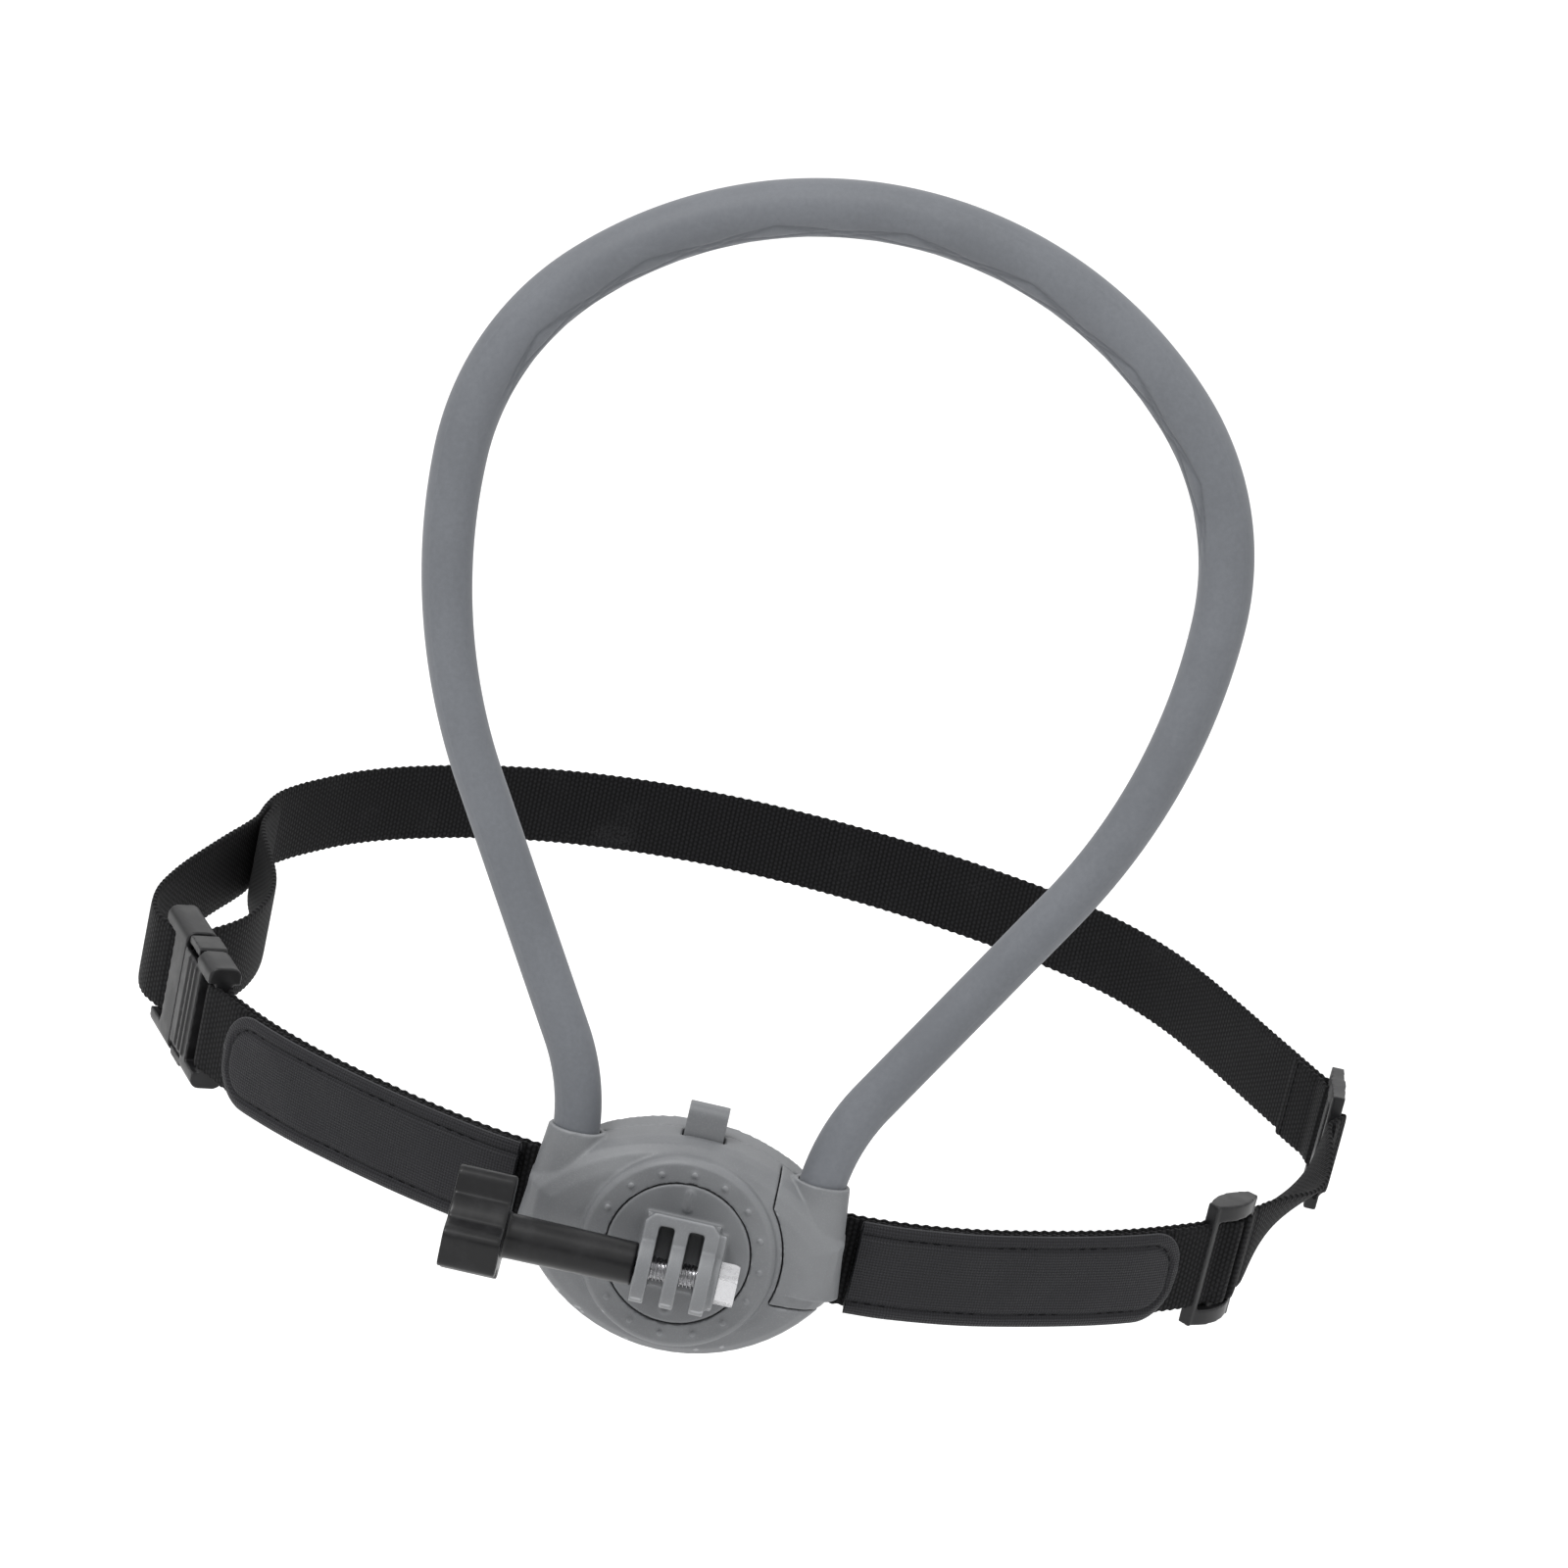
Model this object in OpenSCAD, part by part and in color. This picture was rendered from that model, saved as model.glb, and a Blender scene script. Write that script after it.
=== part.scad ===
// Neck hoop and chest strap camera mount: pod with click-stop dial, bendable hoop, webbing loop.
// +Y points at the wearer, -Y at the camera side, +Z up; origin on the pod's flat back face.

/* [Pod] */
// Radius of the pod's lower outline
low_r = 37.5; // [37:0.5:38]
// Radius of the pod's upper outline
top_r = 44; // [43:0.5:45]
// Height of the lower outline's centre
low_z = 13.5; // [13:0.5:14]
// Height of the upper outline's centre
top_z = -21.4; // [-22:0.2:-21]
// Half width of the pod across its flat sides
pod_half_w = 33.5; // [33:0.5:35]
// Depth of the pod from back face to dial face
pod_depth = 24; // [24:0.5:26]
// Depth of the back tray
tray_depth = 8.2; // [8:0.1:8.4]
// Wall thickness of the shells
wall = 2; // [1.6:0.1:2.4]

/* [Dial] */
// Radius of the turning disc
disc_r = 15; // [14.5:0.5:15.5]
// Outer radius of the fixed ring round the disc
ring_r = 20.4; // [20:0.1:21]
// Radius of the circle of index dots
dot_circle_r = 17; // [16.8:0.1:17.5]
// Number of click stops
stops = 16; // [8:4:24]

/* [Camera tab] */
// Thickness of each finger
finger_t = 3; // [2.8:0.1:3.1]
// Width of the slots between the fingers
slot_t = 3.2; // [3.1:0.1:3.4]
// Distance of the screw axis from the pod's back face
axis_depth = 36; // [35.5:0.5:38]
// Radius of the finger tips
tip_r = 7.5; // [7:0.1:7.5]
// Height of the tab's bridged top above the screw axis
bridge_top = 12.7; // [12:0.1:13]

/* [Thumb screw] */
// Radius of the plastic barrel
barrel_r = 4.7; // [4.4:0.1:5]
// Length of the barrel
barrel_len = 27; // [25:1:32]
// Thickness of the lobed knob
knob_t = 12; // [10:1:14]
// Radius that the knob's lobes reach
knob_r = 12; // [11:0.5:12.5]
// Radius of the steel stud
stud_r = 2.45; // [2.4:0.05:2.45]

/* [Hoop] */
// Distance of each socket from the middle
socket_x = 26; // [25.5:0.5:26.5]
// Distance of the hoop's plane from the back face at the pod
hoop_depth = 13.5; // [13:0.5:14]
// Angle that the hoop leans back
hoop_lean = 4.6; // [0:0.2:8]
// Angle that the sides flare out
flare = 31; // [28:1:34]
// Bend radius just above the sockets
foot_r = 45; // [42:1:48]
// Length of the straight flared stretch
side_len = 56; // [50:1:60]
// Bend radius of the long sides
side_r = 125; // [120:1:130]
// Height of the hoop's centre line at the nape
hoop_top = 216; // [212:1:222]
// Tube radius at the sockets
tube_r = 4.9; // [4.7:0.1:5]
// Tube radius of the long sides
tube_mid_r = 5.2; // [5:0.1:5.4]
// Tube radius over the shoulders and nape
tube_top_r = 5.9; // [5.6:0.1:6.4]
// Radius of the bendable metal core
core_r = 2; // [1.5:0.1:2.2]
// Half angle of the nape stretch that bends
nape_half = 8; // [7:0.5:10]

/* [Strap] */
// Width of the webbing
web_w = 20; // [19:0.5:20]
// Thickness of one layer of webbing
web_t = 1.6; // [1.2:0.1:1.7]
// Rise of the strap towards the wearer's back, degrees
strap_rise = 5.7; // [0:0.1:7]
// Height of the pads
pad_w = 21.5; // [20:0.5:22]
// Thickness of the pads
pad_t = 2.4; // [2:0.1:3]

/* [Buckle] */
// Length of the closed buckle
buckle_len = 36; // [36:0.5:38]
// Height of the buckle across the webbing
buckle_h = 29; // [28.5:0.5:30]
// Thickness of the buckle
buckle_t = 7.4; // [7.2:0.1:8]

/* [Hidden] */
$fn = 64;
gap = 0.25;
run = 0.05;
tiny = 0.01;

floor_depth = 18.4;
recess_depth = 20.6;
disc_back = recess_depth + 0.1;
face_recess = 0.1;
hub_r = 3;
detent_at = -11;
detent_r = 1;

foot_w = 14;
sleeve_foot = 12.2;
core_foot = 1;
ferrule_r = 3.2;
socket_top = 18.4;
socket_low = -5;
side_a = [socket_x + foot_r * (1 - cos(flare)), foot_w + foot_r * sin(flare)];
side_b = side_a + side_len * [sin(flare), cos(flare)];
side_centre = side_b + side_r * [-cos(flare), sin(flare)];
wide_x = side_centre[0] + side_r;
wide_w = side_centre[1];
shoulder_r = (hoop_top - wide_w - wide_x * tan(22.5)) / (sin(45) - (1 - cos(45)) * tan(22.5));
nape_r = (wide_x - shoulder_r * (1 - cos(45))) / cos(45);

seam_r = ring_r + 1.4;
seam_x = 17.4;
seam_z = -7;
tongue_z = [9.5, 14.5];
tongue_depth = [10, 12.4];
tab_half = 4.2;
tab_depth = [8.6, 13.8];
tab_top = 29;
tab_foot = 6.6;
press = 2.2;
sleeve_low = 7.1;
tab_front = axis_depth + 3.3;
tab_rise = 0.32;
bridge_t = 2.4;

screw_spots = [[-14, 15], [-15, -14], [15, -14]];
cover_spots = [[27, -2.6], [30.15, 4.5]];
cover_top = tray_depth + 2.2;
strap_depth = 5.4;
strap_z = 0.7;
pin_x = 27;
pin_r = 1.25;

right_run = [[31, 0], [45, 2], [59, 6.5], [72, 12.7], [86, 20.6], [96, 27.4], [105, 35], [111, 39.2]];
link_run = [[120.7, 52.2], [125.5, 62], [133, 84], [139.5, 107], [142.9, 121]];
back_run = [
  [143.6, 142], [139, 152], [129, 169], [109, 205], [88, 227], [58, 241.5], [24, 250.5], [-10, 253],
  [-42, 248], [-72, 235], [-98, 214.5], [-113, 194], [-120.2, 176.5]
];
loop_run = [
  [-122.4, 158], [-126.5, 141], [-132, 117], [-134.4, 98], [-132.4, 84.5], [-128, 76.5], [-122.6, 73.9],
  [-117.5, 80], [-112.8, 91], [-110.6, 104], [-111, 118], [-114.2, 132], [-117.8, 146], [-119.8, 158]
];
left_run = [[-31, 0], [-44, 3.2], [-57, 8.4], [-70, 14.9], [-84, 23], [-95, 31], [-103, 38.4], [-107.8, 43]];
buckle_at = [-109.5, 46.3];
buckle_turn = 116;
mouth = 19.5;
slider_at = [115.8, 45.6];
slider_turn = 53;
slider_len = 15;
glide_at = [143.3, 131.5];
glide_turn = 88;
glide_len = 20;
frame_h = 29;

// Smooth curve through hand-set points
function ahead(p, i) = i + 1 < len(p) ? p[i + 1] : 2 * p[i] - p[i - 1];
function behind(p, i) = i > 0 ? p[i - 1] : 2 * p[i] - p[i + 1];
function between(a, b, c, d, t) =
  0.5 * (2 * b + (c - a) * t + (2 * a - 5 * b + 4 * c - d) * t * t + (3 * b - a - 3 * c + d) * t * t * t);
function curve(p, n) = [
  for (i = [0 : len(p) - 2])
    for (k = [0 : i == len(p) - 2 ? n : n - 1])
      between(behind(p, i), p[i], p[i + 1], i + 2 < len(p) ? p[i + 2] : 2 * p[i + 1] - p[i], k / n)
];
function unit(v) = v / norm(v);
function side_of(p, i) = let (d = unit(ahead(p, i) - behind(p, i))) [d[1], -d[0]];
function shifted(p, d) = [for (i = [0 : len(p) - 1]) p[i] + d * side_of(p, i)];
function reversed(p) = [for (i = [len(p) - 1 : -1 : 0]) p[i]];

// Band of even thickness along a curve, standing on the strap's plane
module band(points, thick, tall, out = 0) {
  path = curve(points, 5);
  translate([0, 0, -tall / 2])
    linear_extrude(tall)
      polygon(concat(shifted(path, out - thick / 2), reversed(shifted(path, out + thick / 2))));
}

// Puts (x, up, depth) drawings on the pod: depth runs from the back face towards -Y
module on_pod() {
  rotate([90, 0, 0]) children();
}

// Puts drawings on the hoop's leaning plane, x across and y up
module on_hoop() {
  translate([0, -hoop_depth, 0]) rotate([90 - hoop_lean, 0, 0]) children();
}

module on_strap() {
  translate([0, -strap_depth, strap_z]) rotate([strap_rise, 0, 0]) children();
}

module at_buckle() {
  on_strap() translate([buckle_at[0], buckle_at[1], 0]) rotate([0, 0, buckle_turn]) children();
}

// Points of the pod's outline: a low arc, a high arc and two flat sides
function arc_points(z, r, half_w, from, to) = [
  for (k = [0 : 24]) let (edge = acos(half_w / r), a = from + edge + (to - from - 2 * edge) * k / 24)
    [r * cos(a), z + r * sin(a)]
];
function outline_points(inset) = concat(
  arc_points(low_z, low_r - inset, pod_half_w - inset, 180, 360),
  arc_points(top_z, top_r - inset, pod_half_w - inset, 0, 180)
);

module outline(inset = 0) {
  polygon(outline_points(inset));
}

// Rounded dome between the tray and the dial ring
module dome() {
  levels = [[tray_depth, 0], [15.4, 0], [18, 0.9], [19.8, 2.6], [21, 5.5], [21.6, 10]];
  slab_t = 0.4;
  hull()
    for (level = levels)
      translate([0, 0, level[0]]) linear_extrude(slab_t) outline(level[1]);
}

// Room inside the dome, in two steps that follow it
module dome_room() {
  difference() {
    union() {
      translate([0, 0, tray_depth - 1]) linear_extrude(9) outline(wall);
      translate([0, 0, tray_depth - 1]) linear_extrude(12.4) outline(wall + 3);
    }
    translate([0, 0, tray_depth - 2]) linear_extrude(40) connector_plan(gap + wall);
  }
}

module socket_cone() {
  on_hoop() translate([socket_x, 0, 0]) rotate([-90, 0, 0])
    translate([0, 0, socket_low]) cylinder(h = socket_top - socket_low, r1 = 8.6, r2 = 6);
}

module socket_bores() {
  on_hoop() translate([socket_x, 0, 0]) rotate([-90, 0, 0]) {
    translate([0, 0, sleeve_foot - run]) cylinder(h = 40, r = tube_r + run);
    translate([0, 0, core_foot - run]) cylinder(h = 40, r = ferrule_r + run);
  }
}

// Plan of the plug-in connector, grown by the seam's gap where the shell makes room for it
module connector_plan(grow = 0) {
  difference() {
    translate([seam_x - grow, seam_z - grow]) square([40, 60]);
    circle(seam_r - grow);
  }
}

module pod_front_shell() {
  color([0.47, 0.48, 0.5]) difference() {
    union() {
      on_pod() difference() {
        dome();
        dome_room();
        linear_extrude(60) connector_plan(gap);
      }
      on_pod() difference() {
        translate([0, 0, floor_depth]) cylinder(h = pod_depth - floor_depth - 1, r = disc_r + wall);
        translate([0, 0, 10]) linear_extrude(60) connector_plan(gap);
      }
      difference() {
        mirror([1, 0, 0]) socket_cone();
        on_pod() translate([-50, -50, -1]) cube([100, 100, tray_depth + 1]);
      }
      on_pod() translate([0, 0, 20]) cylinder(h = pod_depth - 21, r = ring_r);
      on_pod() translate([0, 0, pod_depth - 1]) cylinder(h = 1, r1 = ring_r, r2 = ring_r - 1);
      on_pod() for (spot = screw_spots)
        translate([spot[0], spot[1], tray_depth]) cylinder(h = 12, r = 2.6);
      on_pod() translate([0, detent_at, 15]) cylinder(h = 4, r = 2.2);
      index_dots();
    }
    mirror([1, 0, 0]) socket_bores();
    on_pod() translate([0, 0, recess_depth]) cylinder(h = 10, r = disc_r + gap);
    on_pod() translate([0, 0, 10]) cylinder(h = 20, r = hub_r + run);
    on_pod() translate([0, detent_at, 14]) cylinder(h = 12, r = detent_r + run);
    on_pod() for (spot = screw_spots) translate([spot[0], spot[1], 0]) cylinder(h = 15, r = 1.1);
    on_pod() translate([seam_x - 6, tongue_z[0] - 0.4, tongue_depth[0] - 0.4])
      cube([12, tongue_z[1] - tongue_z[0] + 2.2, tongue_depth[1] - tongue_depth[0] + 0.8]);
    on_pod() translate([-tab_half - gap, 14, tab_depth[0] - gap])
      cube([2 * tab_half + 2 * gap, 20, tab_depth[1] - tab_depth[0] + 2 * gap]);
  }
}

// Small raised marks, one for each click stop
module index_dots() {
  on_pod() for (i = [0 : stops - 1])
    rotate([0, 0, 90 + i * 360 / stops])
      translate([dot_circle_r + 0.4, 0, pod_depth - 0.5]) cylinder(h = 0.9, r1 = 0.9, r2 = 0.45, $fn = 24);
}

module pod_back_tray() {
  color([0.42, 0.43, 0.45]) on_pod() difference() {
    union() {
      linear_extrude(1) outline(1);
      translate([0, 0, 1]) linear_extrude(tray_depth - 1) outline();
    }
    difference() {
      translate([0, 0, 2.2]) linear_extrude(tray_depth) outline(wall);
      for (spot = screw_spots) translate([spot[0], spot[1], 0]) cylinder(h = tray_depth, r = 3.2);
      for (s = [-1, 1]) for (end = [-13.6, 11.8])
        translate([s * pin_x - 3, end, 0]) cube([6, 3.2, tray_depth - 0.4]);
      translate([-3, -9, 0]) cube([6, 3, tray_depth]);
    }
    for (spot = screw_spots) translate([spot[0], spot[1], -tiny]) {
      cylinder(h = 20, r = 1.25);
      cylinder(h = 1.7, r1 = 2.7, r2 = 1.25);
    }
    for (s = [-1, 1]) {
      translate([s * 31 - 5.5, strap_z - web_w / 2 - 0.8, 2.4]) cube([11, web_w + 1.6, tray_depth]);
      translate([s * pin_x, 13.4, strap_depth]) rotate([90, 0, 0]) cylinder(h = 25.4, r = pin_r + run);
    }
    for (i = [-1, 0, 1]) for (s = [-1, 1])
      translate([s * 17 - 4, i * 3, -tiny]) cube([8, 1, 0.5]);
    for (s = [-1, 1]) translate([s * 30 - 10, 11, sleeve_low]) cube([20, 12, 4]);
  }
}

module back_screws() {
  color([0.62, 0.62, 0.64]) on_pod() for (spot = screw_spots) translate([spot[0], spot[1], 0.2])
    difference() {
      union() {
        cylinder(h = 1.3, r1 = 2.4, r2 = 1.1);
        cylinder(h = 13, r = 1.05);
      }
      for (a = [0, 90]) rotate([0, 0, a]) translate([-1.3, -0.25, -tiny]) cube([2.6, 0.5, 0.8]);
    }
}

module strap_pins() {
  color([0.7, 0.7, 0.72]) on_pod() for (s = [-1, 1])
    translate([s * pin_x, 13.3, strap_depth]) rotate([90, 0, 0]) cylinder(h = 25.2, r = pin_r);
}

module release_tab() {
  depth = tab_depth[1] - tab_depth[0];
  color([0.5, 0.51, 0.53]) on_pod() difference() {
    union() {
      translate([-tab_half, tab_foot, tab_depth[0]]) cube([2 * tab_half, tab_top - 2 - tab_foot, depth]);
      translate([-tab_half, tab_top - 2, tab_depth[0] + 2])
        rotate([0, 90, 0]) rotate([0, 0, 90]) linear_extrude(2 * tab_half) intersection() {
          translate([0, -2]) square([2, depth]);
          hull() {
            translate([0, -1]) square([1, depth - 2]);
            circle(2);
            translate([0, depth - 4]) circle(2);
          }
        }
    }
    difference() {
      translate([-20, tongue_z[0] - 0.3, tongue_depth[0] - 0.4])
        cube([40, tongue_z[1] - tongue_z[0] + press + 0.8, tongue_depth[1] - tongue_depth[0] + 0.8]);
      translate([-1.4, tongue_z[0] - 1, 0]) cube([2.8, 2.4, 30]);
    }
    translate([0, tab_foot - tiny, 11.2]) rotate([-90, 0, 0]) cylinder(h = 1.2, r = 2.1);
  }
}

// Coil of round wire about the z axis
module coil(radius, wire, turns, tall) {
  steps = 14;
  sides = 6;
  count = turns * steps;
  rings = [for (k = [0 : count]) let (a = 360 * k / steps, z = tall * k / count)
    for (j = [0 : sides - 1]) let (b = 360 * j / sides, r = radius + wire * cos(b))
      [r * cos(a), r * sin(a), z + wire * sin(b)]];
  sides_faces = [for (k = [0 : count - 1]) for (j = [0 : sides - 1]) let (n = (j + 1) % sides)
    [k * sides + j, k * sides + n, (k + 1) * sides + n, (k + 1) * sides + j]];
  first_cap = [[for (j = [sides - 1 : -1 : 0]) j]];
  last_cap = [[for (j = [0 : sides - 1]) count * sides + j]];
  polyhedron(rings, concat(sides_faces, first_cap, last_cap));
}

module release_spring() {
  color([0.75, 0.75, 0.76]) on_pod() translate([0, -5.6, 11.2]) rotate([-90, 0, 0])
    coil(1.5, 0.3, 6, tab_foot + 6.3);
}

// Height of the tab's sloping top where it leaves the disc
function tab_root(up, front) = up - tab_rise * (front - pod_depth);

// Side view of one finger: x is height, y is depth; its top slopes down towards the disc
module finger_profile(tip, up, front) {
  translate([0, axis_depth]) circle(tip);
  polygon([[-tip, pod_depth - 1], [tab_root(up, front), pod_depth - 1], [tab_root(up, front), pod_depth],
    [up, front], [0, front], [0, axis_depth], [-tip, axis_depth]]);
}

module dial_disc() {
  half = 1.5 * finger_t + slot_t;
  pitch = finger_t + slot_t;
  color([0.48, 0.49, 0.51]) difference() {
    union() {
      on_pod() translate([0, 0, disc_back]) cylinder(h = pod_depth - face_recess - disc_back, r = disc_r);
      on_pod() translate([0, 0, floor_depth + 0.05]) cylinder(h = 4, r = hub_r);
      for (i = [-1 : 1]) tab_slice(i * pitch - finger_t / 2, finger_t, tip_r, bridge_top, tab_front);
      tab_slice(half - tiny, 1.5, 6, bridge_top - 2, tab_front - 1);
      tab_bridge(half);
      on_pod() translate([-half, -tip_r, pod_depth - 1]) cube([2 * half, tip_r + tab_root(bridge_top, tab_front), 2]);
      pointer();
    }
    for (s = [-1, 1]) on_pod() translate([s * half, tab_root(bridge_top, tab_front), pod_depth])
      rotate([-atan(tab_rise), 0, 0]) rotate([0, 0, 45]) translate([-1.2, -1.2, 1]) cube([2.4, 2.4, 30]);
    translate([-20, -axis_depth, 0]) rotate([0, 90, 0]) cylinder(h = 40, r = stud_r + run);
    on_pod() translate([0, 0, 10]) cylinder(h = 12.6, r = 1.25);
    on_pod() for (i = [0 : stops - 1]) rotate([0, 0, 90 + i * 360 / stops])
      translate([-detent_at, 0, disc_back]) sphere(0.8);
  }
}

// Slice of the camera tab across X, seen from the side
module tab_slice(from, thick, tip, up, front) {
  from_side(from, thick) finger_profile(tip, up, front);
}

// Sloping wall that closes the tops of the slots
module tab_bridge(half) {
  root = tab_root(bridge_top, tab_front);
  from_side(-half, 2 * half)
    polygon([[root - bridge_t, pod_depth - 0.5], [root, pod_depth - 0.5], [root, pod_depth],
      [bridge_top, tab_front], [bridge_top - bridge_t, tab_front]]);
}

module from_side(from, thick) {
  translate([from, 0, 0]) rotate([0, 0, 90]) rotate([90, 0, 0]) mirror([1, 0, 0])
    linear_extrude(thick) rotate(90) mirror([0, 1, 0]) children();
}

// Raised drop-shaped pointer and the small ring opposite
module pointer() {
  on_pod() translate([0, 0, pod_depth - 1]) linear_extrude(1.3) union() {
    translate([0, 13.3]) circle(0.8);
    translate([0, 10.2]) circle(0.9);
    translate([-0.8, 10.2]) square([1.6, 3.1]);
  }
  on_pod() translate([0, -11.8, pod_depth - 1]) difference() {
    cylinder(h = 1.2, r = 1.3);
    cylinder(h = 3, r = 0.8);
  }
}

module dial_washer() {
  color([0.75, 0.75, 0.76]) on_pod() difference() {
    translate([0, 0, floor_depth - 0.65]) cylinder(h = 0.6, r = 5.4);
    cylinder(h = 40, r = 1.6);
  }
}

module dial_screw() {
  color([0.7, 0.7, 0.72]) on_pod() difference() {
    union() {
      translate([0, 0, 15.4]) cylinder(h = 2.3, r = 3);
      translate([0, 0, 17]) cylinder(h = 5.5, r = 1.25);
    }
    for (a = [0, 90]) rotate([0, 0, a]) translate([-1.6, -0.3, 15]) cube([3.2, 0.6, 1.4]);
  }
}

module detent_ball() {
  color([0.8, 0.8, 0.82]) on_pod() translate([0, detent_at, disc_back - run - detent_r]) sphere(detent_r);
}

module detent_spring() {
  color([0.75, 0.75, 0.76]) on_pod() translate([0, detent_at, 16.3]) coil(0.7, 0.2, 4, 2.1);
}

module camera_nut() {
  across_flats = 8;
  color([0.85, 0.85, 0.87]) translate([1.5 * finger_t + slot_t + 1.5, -axis_depth, 0]) rotate([0, 90, 0])
    difference() {
      intersection() {
        cylinder(h = 4, r = across_flats / 2 / cos(30), $fn = 6);
        translate([0, 0, -0.6]) cylinder(h = 5.2, r1 = 5.2, r2 = 4.3);
      }
      translate([0, 0, -1]) cylinder(h = 6, r = stud_r + run);
    }
}

module thumb_knob() {
  start = -(1.5 * finger_t + slot_t) - 0.2;
  color([0.1, 0.1, 0.11]) translate([start, -axis_depth, 0]) rotate([0, -90, 0]) difference() {
    union() {
      cylinder(h = barrel_len + 1, r1 = barrel_r - 0.2, r2 = barrel_r);
      translate([0, 0, barrel_len]) knob_body();
    }
    translate([0, 0, -tiny]) cylinder(h = 12, r = stud_r);
  }
}

// Three-lobed grip with one lobe towards the camera side; between the lobes its waist is round
module knob_body() {
  lobe = 4.6;
  round = 2.2;
  waist = 7.6;
  meet = asin(lobe / waist);
  profile = [for (a = [0, 120, 240]) each concat(
    [for (t = [-90 : 18 : 0]) lobe_point(knob_r - round, round - lobe, round, t, a)],
    [for (t = [0 : 18 : 90]) lobe_point(knob_r - round, lobe - round, round, t, a)],
    [for (k = [0 : 6]) lobe_point(0, 0, waist, meet + (120 - 2 * meet) * k / 6, a)])];
  rotate([0, 0, -100]) linear_extrude(knob_t) polygon(profile);
}
function lobe_point(x, y, r, t, a) =
  let (u = x + r * cos(t), v = y + r * sin(t)) [u * cos(a) - v * sin(a), u * sin(a) + v * cos(a)];

module thumb_stud() {
  end = 1.5 * finger_t + slot_t;
  color([0.78, 0.78, 0.8]) translate([-end - 12, -axis_depth, 0]) rotate([0, 90, 0])
    cylinder(h = 2 * end + 12 + 5.3, r = stud_r);
}

// Stations along an arc: x, height, tube radius and heading, for a tube that turns with or against the clock
function stations(centre, radius, from, to, r1, r2, n) = [
  for (k = [0 : n]) let (a = from + (to - from) * k / n)
    [centre[0] + radius * cos(a), centre[1] + radius * sin(a), r1 + (r2 - r1) * k / n, to > from ? a + 90 : a - 90]
];
function without_first(p) = [for (i = [1 : len(p) - 1]) p[i]];

// Centre line of the right half, from its foot to the bending stretch at the nape
function half_path(foot, foot_out, side_out, mid_out, top_out) = concat(
  [[socket_x, foot, foot_out, 90]],
  stations([socket_x + foot_r, foot_w], foot_r, 180, 180 - flare, foot_out, foot_out, 6),
  stations(side_centre, side_r, -flare, 0, side_out, mid_out, 9),
  without_first(stations([wide_x - shoulder_r, wide_w], shoulder_r, 0, 45, mid_out, top_out, 8)),
  without_first(stations([0, hoop_top - nape_r], nape_r, 45, 90 - nape_half, top_out, top_out, 6))
);

// Tube along those stations, hollow where inner is above zero
module half_hoop(path, inner) {
  sides = 20;
  count = len(path);
  skins = inner > 0 ? 2 : 1;
  rings = [for (s = [0 : skins - 1]) for (p = path) for (j = [0 : sides - 1])
    let (b = 360 * j / sides, r = s == 0 ? p[2] : inner)
      [p[0] - r * cos(b) * sin(p[3]), p[1] + r * cos(b) * cos(p[3]), r * sin(b)]];
  skin_faces = [for (s = [0 : skins - 1]) for (k = [0 : count - 2]) for (j = [0 : sides - 1])
    let (n = (j + 1) % sides, o = s * count * sides, a = o + k * sides, b = a + sides)
      s == 0 ? [a + j, a + n, b + n, b + j] : [a + j, b + j, b + n, a + n]];
  last = (count - 1) * sides;
  hole = count * sides;
  open_ends = [for (j = [0 : sides - 1]) let (n = (j + 1) % sides) each [
    [j, hole + j, hole + n, n],
    [last + j, last + n, hole + last + n, hole + last + j]
  ]];
  closed_ends = [[for (j = [sides - 1 : -1 : 0]) j], [for (j = [0 : sides - 1]) last + j]];
  on_hoop() polyhedron(rings, concat(skin_faces, inner > 0 ? open_ends : closed_ends));
}

// Bent round bar about the hoop's middle, over the stretch that bends
module nape_bar(outer, inner) {
  reach = nape_half - 0.02;
  on_hoop() translate([0, hoop_top - nape_r, 0]) rotate([0, 0, 90 - reach])
    rotate_extrude(angle = 2 * reach) translate([nape_r, 0]) difference() {
      circle(outer, $fn = 48);
      if (inner > 0) circle(inner, $fn = 48);
    }
}

module right_sleeve() {
  color([0.44, 0.46, 0.49])
    half_hoop(half_path(sleeve_foot, tube_r, tube_r, tube_mid_r, tube_top_r), core_r + run);
}

module left_sleeve() {
  mirror([1, 0, 0]) right_sleeve();
}

module right_core() {
  color([0.7, 0.7, 0.72]) half_hoop(half_path(core_foot, core_r, core_r, core_r, core_r), 0);
}

module left_core() {
  mirror([1, 0, 0]) right_core();
}

module right_ferrule() {
  color([0.7, 0.66, 0.5]) on_hoop() translate([socket_x, core_foot, 0]) rotate([-90, 0, 0]) difference() {
    cylinder(h = sleeve_foot - core_foot - 0.2, r = ferrule_r);
    translate([0, 0, -1]) cylinder(h = 20, r = core_r + run);
  }
}

module left_ferrule() {
  mirror([1, 0, 0]) right_ferrule();
}

module nape_sleeve() {
  color([0.44, 0.46, 0.49]) nape_bar(tube_top_r, core_r + run);
}

module nape_core() {
  color([0.7, 0.7, 0.72]) nape_bar(core_r, 0);
}

// Space that the connector's back cover fills
module cover_space(grow, from, to) {
  translate([0, 0, from]) linear_extrude(to - from) intersection() {
    outline(wall - grow);
    connector_plan(grow - wall);
  }
}

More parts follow.
